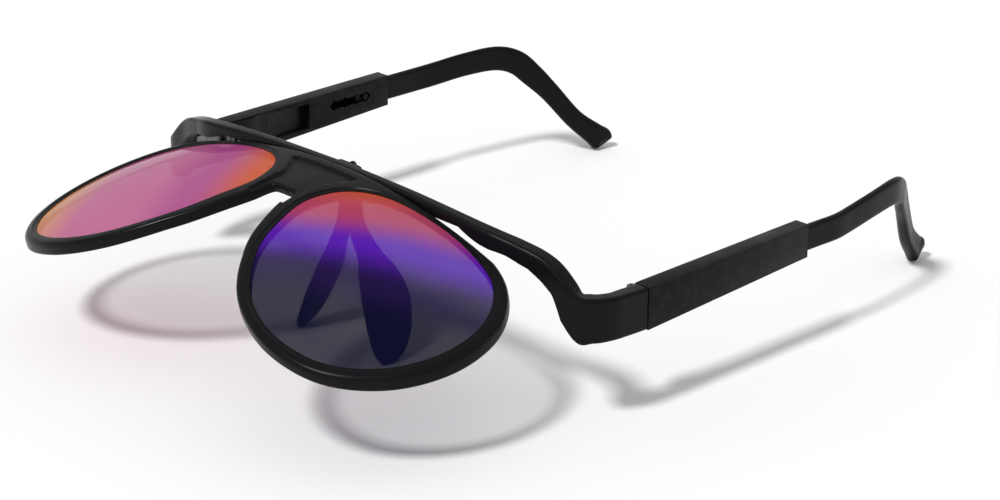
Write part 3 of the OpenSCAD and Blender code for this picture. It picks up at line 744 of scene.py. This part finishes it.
# Temple hinge leaf: its foot, height, length and the face that it lies against
LEAF_Z = float(SLEEVE_LOW[2]) + 1.3
LEAF_H = 6.6
LEAF_L = 8.5
LEAF_X = HALF_WIDTH - END_T


def knuckle_room(sign):
    """Upright round cutter about the temple hinge's axis."""
    return prism("knuckle_room", circle(sign * FOLD_X, FOLD_Y, KNUCKLE_R), 2, LEAF_Z - 0.3,
                 LEAF_Z + LEAF_H + 0.7)


def cut_end_pockets(piece):
    """Room for the temple hinge's knuckles and a pocket for its leaf, in both end pieces."""
    cutters = []
    for side, sign in SIDES:
        cutters.append(knuckle_room(sign))
        x = sorted((sign * (LEAF_X - 0.6), sign * (LEAF_X + 0.8)))
        cutters.append(box_mesh("leaf_room_" + side, (x[0], END_Y - LEAF_L, LEAF_Z - LEAF_ROOM),
                                (x[1], END_Y + 1, LEAF_Z + LEAF_H + LEAF_ROOM)))
    cut(piece, cutters, "MANIFOLD")


# Nose piece


# Nose piece: where its stem leaves the brow bar, half the stem's thickness, half the width over the
# pads, height of the fork, and turn of the pads towards the nose in degrees
STEM_LEAVES_Z = 36
STEM_HALF_T = 0.85
PADS_HALF = 14.4
FORK_Z = 21.4
PAD_SPLAY = 14


def nose_rows():
    """Rows of x, y, z, width and thickness of the right arm and pad, from the stem to its tip."""
    y = node_box("nose_piece")[0][1] + STEM_HALF_T
    z = FORK_Z
    return np.array([
        (1.4, y + 4.15, z + 13, 2.6, 2.8), (1.4, y + 4.15, z + 9, 2.9, 3.4), (1.9, y + 4.2, z + 6, 3.4, 3.6),
        (3.3, y + 4.4, z + 3, 4.4, 3.3), (5.2, y + 4.8, z, 5.8, 2.8), (7.6, y + 5.2, z * 0.8, 9.6, 2.4),
        (10, y + 5.2, z * 0.56, 11.4, 2.2), (12.2, y + 4.3, z * 0.3, 10.5, 2.1),
        (13.6, y + 3.1, z * 0.12, 7.4, 1.9), (PADS_HALF - 0.1, y + 2.2, 0.6, 3.4, 1.2)])


def nose_arm():
    """Oval sections carried down each arm, splayed so that the pad faces the nose."""
    path = curve_points(nose_rows(), 90, closed=False)
    tangent = np.gradient(path[:, [0, 2]], axis=0)
    tangent /= np.linalg.norm(tangent, axis=1)[:, None]
    splay = math.radians(PAD_SPLAY)
    angle = np.linspace(0, 2 * math.pi, 40, endpoint=False)
    c, s = np.cos(angle), np.sin(angle)
    # A power under 1 makes the ovals a little square
    squareness = 0.75
    thick = path[:, 4:5] / 2 * np.sign(c) * np.abs(c) ** squareness
    wide = path[:, 3:4] / 2 * np.sign(s) * np.abs(s) ** squareness
    bulge = 0.5 * smooth_step(path[:, 3:4], 6, 11) * (1 - s ** 2)
    thick = thick - bulge
    side = thick * math.cos(splay) + wide * math.sin(splay)
    back = wide * math.cos(splay) - thick * math.sin(splay)
    x = path[:, 0:1] - tangent[:, 1:2] * side
    y = path[:, 1:2] + back
    z = path[:, 2:3] + tangent[:, 0:1] * side
    return np.stack([x, y, z], axis=-1)


class GLASSES_OT_nose_piece(bpy.types.Operator):
    """Nose piece: a stem behind the brow bar that forks into two pads"""
    bl_idname = "glasses.nose_piece"
    bl_label = "Nose piece"

    def execute(self, context):
        low, high = node_box("nose_piece")
        arm = nose_arm()
        pieces = [tube("nose_arm_" + side, arm * (sign, 1, 1)) for side, sign in SIDES]
        back = BROW_Y + BROW_T + 0.05
        stem = []
        for z, half, thick in ((high[2] - 0.1, 3.2, 1.1), (high[2] - 0.5, 3.7, 1.6),
                               (high[2] - 3.5, 4.0, 1.6), (36.5, 3.9, 1.7), (33.5, 3.4, 2.2),
                               (30.5, 2.7, 2.7), (28.6, 2.0, 2.6)):
            section = rounded_section(2 * half, thick, thick * OVAL, (12, 3, 12, 3), 5)
            middle = back + (thick / 2 if z > STEM_LEAVES_Z else STEM_HALF_T)
            stem.append(np.stack([section[:, 0], middle + section[:, 1], np.full(len(section), z)], axis=1))
        pieces.append(tube("nose_stem", stem))
        piece = join(pieces, "nose_bridge")
        remesh = piece.modifiers.new("blend", "REMESH")
        remesh.mode = "VOXEL"
        remesh.voxel_size = 0.24 * MM
        remesh.use_smooth_shade = True
        soften = piece.modifiers.new("soften", "CORRECTIVE_SMOOTH")
        soften.iterations = 9
        soften.use_only_smooth = True
        apply_modifiers(piece)
        settle(piece, low, high)
        finish_piece(piece, "frame", "moulded_plastic", "black_plastic", "nose_piece")
        return {"FINISHED"}


def join(pieces, name):
    """One object with the meshes of all the pieces."""
    data = bmesh.new()
    for piece in pieces:
        data.from_mesh(piece.data)
        bpy.data.objects.remove(piece)
    mesh = bpy.data.meshes.new(name)
    data.to_mesh(mesh)
    data.free()
    joined = bpy.data.objects.new(name, mesh)
    bpy.context.scene.collection.objects.link(joined)
    return joined


def settle(piece, low, high):
    """Moves a soft-edged mesh's lowest points down to the table and keeps it in the node's box."""
    mesh = piece.data
    places = np.empty(len(mesh.vertices) * 3)
    mesh.vertices.foreach_get("co", places)
    places = places.reshape(-1, 3)
    places[:, 2] += (low[2] * MM - places[:, 2].min()) * (1 - smooth_step(places[:, 2] / MM, 2, 9))
    places = np.clip(places, np.array(low) * MM, np.array(high) * MM)
    mesh.vertices.foreach_set("co", places.ravel())
    mesh.update()


# Temples


def sleeve_block(sign):
    """Tapered block of the sleeve, without its cuts."""
    rings = []
    for y, top, height, outer, width in (
            (SLEEVE_LOW[1], SLEEVE_LOW[2] + SLEEVE_H, SLEEVE_H, HALF_WIDTH, SLEEVE_T),
            (SLEEVE_HIGH[1], SLEEVE_HIGH[2], SLEEVE_END_H, HALF_WIDTH - SLEEVE_INWARD, SLEEVE_END_T)):
        rings.append([(outer - width, y, top - height), (outer, y, top - height), (outer, y, top),
                      (outer - width, y, top)])
    return tube("sleeve", np.array(rings) * (sign, 1, 1))


def diamond(y, z, half):
    return [(y - half, z), (y, z - half), (y + half, z), (y, z + half)]


class GLASSES_OT_temples(bpy.types.Operator):
    """Temples: notched sleeves and the rods with bent ear tips that slide in them"""
    bl_idname = "glasses.temples"
    bl_label = "Temples"

    def execute(self, context):
        for side, sign in SIDES:
            self.sleeve(side, sign)
            self.rod(side, sign)
            self.stud(side, sign)
        return {"FINISHED"}

    def sleeve(self, side, sign):
        """Tapered block with its notched slot, rod channel, pocket and hinge room cut from the inside."""
        size = temple()
        piece = sleeve_block(sign)
        piece.name = "sleeve_" + side
        y0, y1 = float(SLEEVE_LOW[1]), float(SLEEVE_HIGH[1])
        stud_y, z = y1 - STUD_BACK, rod_middle()
        slot_y = stud_y - (NOTCHES - 1) * size.notch_pitch
        cutters = []

        def span(a, b):
            return min(sign * a, sign * b), max(sign * a, sign * b)

        inner = span(LEAF_X - 3, rod_x() - 0.2)
        for k in range(NOTCHES):
            cutters.append(prism("notch", diamond(stud_y - k * size.notch_pitch, z, NOTCH_HALF), 0, *inner))
        slot = [(slot_y, z - SLOT_HALF), (stud_y, z - SLOT_HALF), (stud_y, z + SLOT_HALF),
                (slot_y, z + SLOT_HALF)]
        cutters.append(prism("slot", slot, 0, inner[0] + 0.01, inner[1] - 0.01))
        half_t, half_h = size.rod_t / 2 + SLIDE_ROOM, size.rod_h / 2 + SLIDE_ROOM
        channel = span(rod_x() - half_t, rod_x() + half_t)
        cutters.append(box_mesh("channel", (channel[0], slot_y - 3, z - half_h),
                                (channel[1], y1 + 3, z + half_h)))
        pocket = np.array([(LEAF_X - 1, y0 + POCKET_START), (LEAF_X + 0.1, y0 + POCKET_START),
                           (LEAF_X + POCKET_D, y0 + POCKET_DEEP), (LEAF_X + POCKET_D, y0 + POCKET_END),
                           (LEAF_X - 1, y0 + POCKET_END)]) * (sign, 1)
        cutters.append(prism("pocket", pocket, 2, SLEEVE_LOW[2] + POCKET_FOOT, SLEEVE_LOW[2] + POCKET_HEAD))
        leaf = span(LEAF_X - 0.02, LEAF_X + 0.8)
        mouth = span(LEAF_X - 2, LEAF_X + 0.82)
        cutters.append(knuckle_room(sign))
        cutters.append(box_mesh("mouth", (mouth[0], y0 - 1, LEAF_Z - 0.06),
                                (mouth[1], y0 + 2, LEAF_Z + LEAF_H + 0.06)))
        bulge = self.bulge(sign)
        cut(piece, cutters)
        self.merge_bulge(piece, bulge, leaf)
        bevel = piece.modifiers.new("edges", "BEVEL")
        bevel.width = size.sleeve_edge * MM
        bevel.segments = 3
        bevel.limit_method = "ANGLE"
        bevel.angle_limit = math.radians(35)
        bevel.use_clamp_overlap = True
        apply_modifiers(piece)
        keep_sharp(piece, 38)
        finish_piece(piece, "temple_" + side, "moulded_plastic", "black_plastic", "temple_sleeve_" + side)

    def bulge(self, sign):
        """Swelling inside the sleeve that holds the temple hinge's leaf."""
        outline = np.array([(LEAF_X + 0.6, FOLD_Y + 1.7), (LEAF_X - 0.8, FOLD_Y + 2.2),
                            (LEAF_X - 0.8, FOLD_Y + 7.6), (LEAF_X + 0.6, FOLD_Y + 9.8)]) * (sign, 1)
        return prism("bulge", outline, 2, LEAF_Z - 0.9, LEAF_Z + LEAF_H + 1.0)

    def merge_bulge(self, piece, bulge, leaf):
        """Joins the swelling to the sleeve and takes the leaf's room out of both."""
        combine(piece, [bulge], "UNION")
        room = box_mesh("leaf_room", (leaf[0], FOLD_Y + 1, LEAF_Z - LEAF_ROOM),
                        (leaf[1], FOLD_Y + 8.6, LEAF_Z + LEAF_H + LEAF_ROOM))
        cut(piece, [room])

    def rod(self, side, sign):
        """Rounded section carried along the rod and its ear tip, upright across the path."""
        size = temple()
        start = SLEEVE_HIGH[1] - size.rod_grip
        bend = SLEEVE_HIGH[1] + size.rod_out
        path = curve_points(tip_rows(bend), 150, closed=False)
        path = np.concatenate([[(rod_x(), start, rod_middle(), size.rod_h - 0.5, size.rod_t - 0.5)],
                               [(rod_x(), start + 0.25, rod_middle(), size.rod_h, size.rod_t)], path])
        tangent = np.gradient(path[:, :3], axis=0)
        tangent[:3] = (0, 1, 0)
        tangent /= np.linalg.norm(tangent, axis=1)[:, None]
        across = np.cross(tangent, (0, 0, 1.0))
        across /= np.linalg.norm(across, axis=1)[:, None]
        up = np.cross(across, tangent)
        rings = []
        for (x, y, z, high, thick), side_way, up_way in zip(path, across, up):
            section = rounded_section(thick, high, thick * OVAL, (5, 2, 5, 2), 6)
            rings.append(np.array((x, y, z)) + section[:, :1] * side_way + section[:, 1:] * up_way)
        last = rings[-1]
        middle = last.mean(axis=0)
        for grow, along in ((0.86, 0.28), (0.6, 0.42)):
            rings.append(middle + (last - middle) * grow + tangent[-1] * along)
        rings = np.array(rings)
        rings[..., 2] = np.maximum(rings[..., 2], ROD_LOW[2])
        piece = tube("rod_" + side, rings * (sign, 1, 1))
        keep_sharp(piece, 40)
        finish_piece(piece, "rod_" + side, "moulded_plastic", "black_plastic", "temple_rod_" + side)

    def stud(self, side, sign):
        """Profile of a low round head with a rounded rim, turned about the stud's axis."""
        low, high = node_box("slide_stud_right")
        r = temple().stud_d / 2
        profile = np.array([(low[0], 0.05), (low[0], r - 0.35), (low[0] + 0.1, r - 0.1), (low[0] + 0.3, r),
                            (rod_x() - 0.9, r), (rod_x() - 0.88, r - 0.25), (rod_x() + 0.88, r - 0.25),
                            (rod_x() + 0.88, 0.05)])
        angle = np.linspace(0, 2 * math.pi, 32, endpoint=False)
        y = (low[1] + high[1]) / 2 + profile[:, 1:] * np.cos(angle)
        z = (low[2] + high[2]) / 2 + profile[:, 1:] * np.sin(angle)
        x = np.repeat(profile[:, :1], len(angle), axis=1)
        piece = tube("stud_" + side, np.stack([x, y, z], axis=-1) * (sign, 1, 1))
        keep_sharp(piece, 40)
        finish_piece(piece, "rod_" + side, "moulded_plastic", "black_plastic", "slide_stud_" + side)


def rod_x():
    return HALF_WIDTH - SLEEVE_INWARD - ROD_WALL


def rod_middle():
    return float(SLEEVE_HIGH[2]) - ROD_ROOF - temple().rod_h / 2


def tip_rows(bend):
    """Rows of x, y, z, height and thickness along the rod and ear tip."""
    x, z = rod_x(), rod_middle()
    h, t = temple().rod_h, temple().rod_t
    return np.array([
        (x, bend - 12, z, h, t), (x, bend - 6, z, h, t), (x, bend, z, h, t),
        (x - 0.6, bend + 5.3, z + 0.3, h, t), (x - 1.8, bend + 14.3, z + 1, h, t),
        (x - 3.6, bend + 22.8, z + 1.1, h + 0.2, t + 0.2), (x - 5.7, bend + 27.8, z - 0.5, h + 0.3, t + 0.4),
        (x - 7.8, bend + 31.4, z - 4.1, h, t + 0.6), (x - 10.2, bend + 35.3, z - 8.8, h - 0.8, t + 0.8),
        (x - 13.2, bend + 40.8, z - 16.2, h - 1, t + 1.1),
        (x - 15.3, bend + 45.9, z - 20.9, h - 0.2, t + 1.2),
        (x - 15.8, bend + 47.8, z - 22.6, h + 0.5, t + 1.1),
        (x - 15.95, bend + 48.35, z - 23.6, h * 0.95, t)])


# Finishes


def new_group(name, inputs, outputs):
    """A shader node group with named float, colour or vector sockets."""
    group = bpy.data.node_groups.new(name, "ShaderNodeTree")
    kinds = {"float": "NodeSocketFloat", "colour": "NodeSocketColor", "vector": "NodeSocketVector"}
    for label, kind, value in inputs:
        socket = group.interface.new_socket(label, in_out="INPUT", socket_type=kinds[kind])
        if value is not None:
            socket.default_value = value
    for label, kind in outputs:
        group.interface.new_socket(label, in_out="OUTPUT", socket_type=kinds[kind])
    nodes, links = group.nodes, group.links
    return nodes.new("NodeGroupInput"), nodes.new("NodeGroupOutput"), nodes, links


def noise(nodes, links, vector, scale, detail):
    node = nodes.new("ShaderNodeTexNoise")
    node.inputs["Detail"].default_value = detail
    links.new(vector, node.inputs["Vector"])
    if isinstance(scale, (int, float)):
        node.inputs["Scale"].default_value = scale
    else:
        links.new(scale, node.inputs["Scale"])
    return node.outputs["Fac"]


def to_range(nodes, links, value, low, high, out_low, out_high):
    """A Map Range node from low..high to out_low..out_high; the out ends may be sockets."""
    node = nodes.new("ShaderNodeMapRange")
    links.new(value, node.inputs["Value"])
    node.inputs["From Min"].default_value = low
    node.inputs["From Max"].default_value = high
    for label, end in (("To Min", out_low), ("To Max", out_high)):
        if isinstance(end, (int, float)):
            node.inputs[label].default_value = end
        else:
            links.new(end, node.inputs[label])
    return node.outputs["Result"]


def calculate(nodes, links, operation, first, second):
    """A Math node over two sockets."""
    node = nodes.new("ShaderNodeMath")
    node.operation = operation
    links.new(first, node.inputs[0])
    links.new(second, node.inputs[1])
    return node


def blend(nodes, links, factor, first, second, kind="RGBA"):
    """A Mix node from one socket to another."""
    node = nodes.new("ShaderNodeMix")
    node.data_type = kind
    for socket, label in ((factor, "Factor"), (first, "A"), (second, "B")):
        links.new(socket, node.inputs[label])
    return node.outputs["Result"]


def grain_group():
    """Fine moulded grain: a height for the bump and a roughness that wanders with larger patches."""
    source, sink, nodes, links = new_group(
        "moulded_grain",
        [("Vector", "vector", None), ("Grain Scale", "float", 2600.0), ("Smooth", "float", 0.3),
         ("Rough", "float", 0.45)],
        [("Height", "float"), ("Roughness", "float")])
    fine = noise(nodes, links, source.outputs["Vector"], source.outputs["Grain Scale"], 2.0)
    broad = noise(nodes, links, source.outputs["Vector"], 90.0, 4.0)
    rough = to_range(nodes, links, broad, 0.35, 0.65, source.outputs["Smooth"], source.outputs["Rough"])
    links.new(fine, sink.inputs["Height"])
    links.new(rough, sink.inputs["Roughness"])


def wear_group():
    """Edge wear: where the surface bends sharply outwards, broken up by noise, and specks of dust."""
    source, sink, nodes, links = new_group(
        "edge_wear", [("Vector", "vector", None), ("Base", "colour", None), ("Worn", "colour", None),
                      ("Amount", "float", 0.5)],
        [("Colour", "colour")])
    vector = source.outputs["Vector"]
    geometry = nodes.new("ShaderNodeNewGeometry")
    edge = to_range(nodes, links, geometry.outputs["Pointiness"], 0.52, 0.6, 0.0, 1.0)
    broken = to_range(nodes, links, noise(nodes, links, vector, 420.0, 5.0), 0.45, 0.7, 0.0, 1.0)
    specks = to_range(nodes, links, noise(nodes, links, vector, 1500.0, 1.0), 0.74, 0.8, 0.0, 0.6)
    rub = calculate(nodes, links, "MULTIPLY", edge, broken)
    total = calculate(nodes, links, "ADD", rub.outputs[0], specks)
    total.use_clamp = True
    amount = calculate(nodes, links, "MULTIPLY", total.outputs[0], source.outputs["Amount"])
    shown = blend(nodes, links, amount.outputs[0], source.outputs["Base"], source.outputs["Worn"])
    links.new(shown, sink.inputs["Colour"])


def new_material(name):
    material = bpy.data.materials.new(name)
    material.use_nodes = True
    nodes, links = material.node_tree.nodes, material.node_tree.links
    shader = nodes["Principled BSDF"]
    place = nodes.new("ShaderNodeTexCoord").outputs["Object"]
    return material, nodes, links, shader, place


def use_group(nodes, links, name, place, **values):
    node = nodes.new("ShaderNodeGroup")
    node.node_tree = bpy.data.node_groups[name]
    links.new(place, node.inputs["Vector"])
    for label, value in values.items():
        node.inputs[label.replace("_", " ")].default_value = value
    return node


def add_bump(nodes, links, shader, height, strength, distance):
    bump = nodes.new("ShaderNodeBump")
    bump.inputs["Strength"].default_value = strength
    bump.inputs["Distance"].default_value = distance
    links.new(height, bump.inputs["Height"])
    links.new(bump.outputs["Normal"], shader.inputs["Normal"])


def opaque(tone):
    return (*tone[:3], 1.0)


def grained_material(name, grain_scale, smooth, rough, base, worn, amount, bump):
    """A material with moulded or turned grain and rubbed edges; bump is its strength and its height."""
    material, nodes, links, shader, place = new_material(name)
    grain = use_group(nodes, links, "moulded_grain", place, Grain_Scale=grain_scale, Smooth=smooth,
                      Rough=rough)
    wear = use_group(nodes, links, "edge_wear", place, Base=opaque(base), Worn=opaque(worn), Amount=amount)
    links.new(wear.outputs["Colour"], shader.inputs["Base Color"])
    links.new(grain.outputs["Roughness"], shader.inputs["Roughness"])
    add_bump(nodes, links, shader, grain.outputs["Height"], *bump)
    return material, shader


def plastic_material():
    """Black moulded plastic: satin, finely grained, a little paler where its edges are rubbed."""
    tint = colours()
    shader = grained_material("moulded_plastic", 2800.0, 0.24, 0.38, tint.plastic, tint.dusty, 0.6,
                              (0.25, 0.05 * MM))[1]
    shader.inputs["IOR"].default_value = 1.5
    shader.inputs["Specular IOR Level"].default_value = 0.1


def steel_material():
    """Dull hinge steel with fine turning marks."""
    material, shader = grained_material("hinge_steel", 4200.0, 0.25, 0.4, (0.10, 0.10, 0.11),
                                        (0.25, 0.25, 0.26), 0.8, (0.2, 0.04 * MM))
    shader.inputs["Metallic"].default_value = 1.0
    return material


# Bands of the lens coating, and how far noise bends them, in millimetres
BANDS = 5
BAND_BEND = 2.5
# Share of the lens's cover that its shadow keeps
SHADOW_SHARE = 0.33


def coating_and_painted_reflection_group():
    """Lens coating with a painted reflection: colours and covers that follow each other along one way across
    the lens.

    The place along the way, bent a little by slow noise, runs from 0 to 1 between Start and End.
    """
    bands = [("Band %d" % (k + 1), "colour", None) for k in range(BANDS)]
    covers = [("Cover %d" % (k + 1), "float", 0.8) for k in range(BANDS)]
    source, sink, nodes, links = new_group(
        "coating_bands", [("Vector", "vector", None), ("Way", "vector", None), ("Start", "float", 0.0),
                          ("End", "float", 1.0), *bands, *covers], [("Colour", "colour"), ("Cover", "float")])
    across_lens = nodes.new("ShaderNodeVectorMath")
    across_lens.operation = "DOT_PRODUCT"
    links.new(source.outputs["Vector"], across_lens.inputs[0])
    links.new(source.outputs["Way"], across_lens.inputs[1])
    waves = noise(nodes, links, source.outputs["Vector"], 30.0, 1.0)
    shift = to_range(nodes, links, waves, 0.0, 1.0, -BAND_BEND * MM, BAND_BEND * MM)
    bent = calculate(nodes, links, "ADD", across_lens.outputs["Value"], shift)
    along = nodes.new("ShaderNodeMapRange")
    links.new(bent.outputs[0], along.inputs["Value"])
    links.new(source.outputs["Start"], along.inputs["From Min"])
    links.new(source.outputs["End"], along.inputs["From Max"])
    tone, cover = source.outputs["Band 1"], source.outputs["Cover 1"]
    for k in range(1, BANDS):
        share = nodes.new("ShaderNodeMapRange")
        share.interpolation_type = "SMOOTHSTEP"
        links.new(along.outputs["Result"], share.inputs["Value"])
        share.inputs["From Min"].default_value = (k - 1) / (BANDS - 1)
        share.inputs["From Max"].default_value = k / (BANDS - 1)
        step = share.outputs["Result"]
        tone = blend(nodes, links, step, tone, source.outputs["Band %d" % (k + 1)])
        cover = blend(nodes, links, step, cover, source.outputs["Cover %d" % (k + 1)], "FLOAT")
    links.new(tone, sink.inputs["Colour"])
    links.new(cover, sink.inputs["Cover"])


def lens_material(side, way, start, end, bands, covers):
    """Tinted lens whose mirror coating, with its reflection painted into the base colour, runs through its
    bands; its shadow is lighter than its cover.
    """
    nodes, links, shader, place = new_material("coated_lens_painted_reflection_" + side)[1:]
    values = {"Band_%d" % (k + 1): opaque(band) for k, band in enumerate(bands)}
    values.update({"Cover_%d" % (k + 1): cover for k, cover in enumerate(covers)})
    group = use_group(nodes, links, "coating_bands", place, Way=way, Start=start * MM, End=end * MM, **values)
    links.new(group.outputs["Colour"], shader.inputs["Base Color"])
    path = nodes.new("ShaderNodeLightPath")
    lighter = to_range(nodes, links, path.outputs["Is Shadow Ray"], 0.0, 1.0, 1.0, SHADOW_SHARE)
    cover = calculate(nodes, links, "MULTIPLY", group.outputs["Cover"], lighter)
    links.new(cover.outputs[0], shader.inputs["Alpha"])
    smears = to_range(nodes, links, noise(nodes, links, place, 120.0, 6.0), 0.3, 0.7, 0.03, 0.09)
    links.new(smears, shader.inputs["Roughness"])
    shader.inputs["IOR"].default_value = 1.5
    shader.inputs["Specular IOR Level"].default_value = 0.02
    shader.inputs["Coat Weight"].default_value = 0.08
    shader.inputs["Coat Roughness"].default_value = 0.03


class GLASSES_OT_finishes(bpy.types.Operator):
    """Materials of the plastic, the lenses and the hinges"""
    bl_idname = "glasses.finishes"
    bl_label = "Finishes"

    def execute(self, context):
        grain_group()
        wear_group()
        coating_and_painted_reflection_group()
        plastic_material()
        tint = colours()
        # The band colours paint each lens's reflection as seen from one view, so the two lenses get different
        # hues and ways
        near = (tint.orange, tint.rose, tint.violet, tint.dusk, tint.smoke)
        far = (tint.orange, tint.magenta, tint.pink, tint.pink, tint.peach)
        # Side, way of the bands, where they start and end along it from the hinge line, colours, covers
        for side, way, start, end, bands, covers in (
                ("right", (0.66, -1.03, 0.0), 12, 60, near, (0.8, 0.76, 0.76, 0.78, 0.74)),
                ("left", (-0.8, -0.51, 0.0), 14, 62, far, (0.82, 0.82, 0.8, 0.8, 0.8))):
            zero = HINGE_Y * way[1]
            lens_material(side, way, start + zero, end + zero, bands, covers)
        steel = steel_material()
        for piece in frame["nodes"].values():
            piece.data.materials.clear()
            piece.data.materials.append(steel)
        return {"FINISHED"}


# Stage

# Place and aim of the photograph's camera, in the frame
CAMERA_PLACE = Vector((464.9, HINGE_Y - 395.6, 264.2)) * MM
CAMERA_TURN = 46.36
CAMERA_DROP = 21.62
CAMERA_ROLL = 0.5
CAMERA_LENS = 111.75
# Way the key light falls
LIGHT_WAY = Vector((-0.14, 0.78, -1.0))
LIGHT_POWER = 2.4
LIGHT_SPREAD = 9
# Light of the room on the pieces; the camera itself sees it white
ROOM_LIGHT = 0.55
FLOOR_HALF = 4000.0
FLOOR_Z = -0.05


class GLASSES_OT_stage(bpy.types.Operator):
    """Floor, lights and the camera"""
    bl_idname = "glasses.stage"
    bl_label = "Stage"

    def execute(self, context):
        self.camera()
        self.floor()
        self.lights()
        context.scene.view_settings.view_transform = "Standard"
        return {"FINISHED"}

    def camera(self):
        data = bpy.data.cameras.new("camera")
        data.lens = CAMERA_LENS
        data.sensor_width = 36.0
        data.clip_start = 0.01
        camera = bpy.data.objects.new("camera", data)
        bpy.context.scene.collection.objects.link(camera)
        turn = Matrix.Rotation(math.radians(CAMERA_TURN), 4, "Z")
        tilt = Matrix.Rotation(math.radians(90 - CAMERA_DROP), 4, "X")
        roll = Matrix.Rotation(math.radians(CAMERA_ROLL), 4, "Z")
        camera.matrix_world = Matrix.Translation(CAMERA_PLACE) @ turn @ tilt @ roll
        bpy.context.scene.camera = camera

    def floor(self):
        corners = [(x * FLOOR_HALF, y * FLOOR_HALF, FLOOR_Z) for x, y in ((-1, -1), (1, -1), (1, 1), (-1, 1))]
        piece = mesh_object("floor", corners, [(0, 1, 2, 3)], smooth=False)
        material, nodes, links, shader, place = new_material("floor")
        tone = to_range(nodes, links, noise(nodes, links, place, 3.0, 2.0), 0.3, 0.7, 0.985, 1.0)
        mix = nodes.new("ShaderNodeMix")
        mix.data_type = "RGBA"
        mix.inputs["A"].default_value = (0.0, 0.0, 0.0, 1.0)
        mix.inputs["B"].default_value = opaque(colours().floor)
        links.new(tone, mix.inputs["Factor"])
        links.new(mix.outputs["Result"], shader.inputs["Base Color"])
        shader.inputs["Roughness"].default_value = 0.9
        shader.inputs["Specular IOR Level"].default_value = 0.1
        piece.data.materials.append(material)

    def lights(self):
        sun = bpy.data.lights.new("key", "SUN")
        sun.energy = LIGHT_POWER
        sun.angle = math.radians(LIGHT_SPREAD)
        lamp = bpy.data.objects.new("key", sun)
        lamp.rotation_mode = "QUATERNION"
        lamp.rotation_quaternion = LIGHT_WAY.to_track_quat("-Z", "Y")
        bpy.context.scene.collection.objects.link(lamp)
        world = bpy.data.worlds.new("room")
        bpy.context.scene.world = world
        world.use_nodes = True
        nodes, links = world.node_tree.nodes, world.node_tree.links
        background = nodes["Background"]
        background.inputs["Color"].default_value = (1.0, 1.0, 1.0, 1.0)
        path = nodes.new("ShaderNodeLightPath")
        sees = calculate(nodes, links, "MAXIMUM", path.outputs["Is Camera Ray"],
                         path.outputs["Is Transmission Ray"])
        strength = to_range(nodes, links, sees.outputs[0], 0.0, 1.0, ROOM_LIGHT, 1.0)
        links.new(strength, background.inputs["Strength"])


class GLASSES_PT_panel(bpy.types.Panel):
    """Sidebar panel with the build steps"""
    bl_idname = "GLASSES_PT_panel"
    bl_label = "Glasses"
    bl_space_type = "VIEW_3D"
    bl_region_type = "UI"
    bl_category = "Glasses"

    def draw(self, context):
        for group in (front(), temple(), colours()):
            for name in group.bl_rna.properties.keys():
                if name not in ("rna_type", "name"):
                    self.layout.prop(group, name)
        for operator in OPERATORS:
            self.layout.operator(operator.bl_idname)


GROUPS = (("glasses_front", FrontSizes), ("glasses_temple", TempleSizes), ("glasses_colours", Colours))
OPERATORS = (GLASSES_OT_stage, GLASSES_OT_finishes, GLASSES_OT_lens_front, GLASSES_OT_lenses,
             GLASSES_OT_brow_bar, GLASSES_OT_nose_piece, GLASSES_OT_temples)


def register():
    for name, group in GROUPS:
        bpy.utils.register_class(group)
        setattr(bpy.types.Scene, name, bpy.props.PointerProperty(type=group))
    for operator in OPERATORS:
        bpy.utils.register_class(operator)
    bpy.utils.register_class(GLASSES_PT_panel)


def unregister():
    bpy.utils.unregister_class(GLASSES_PT_panel)
    for operator in reversed(OPERATORS):
        bpy.utils.unregister_class(operator)
    for name, group in reversed(GROUPS):
        delattr(bpy.types.Scene, name)
        bpy.utils.unregister_class(group)


def main():
    register()
    for operator in OPERATORS:
        group, name = operator.bl_idname.split(".")
        getattr(getattr(bpy.ops, group), name)()


if __name__ == "__main__":
    main()
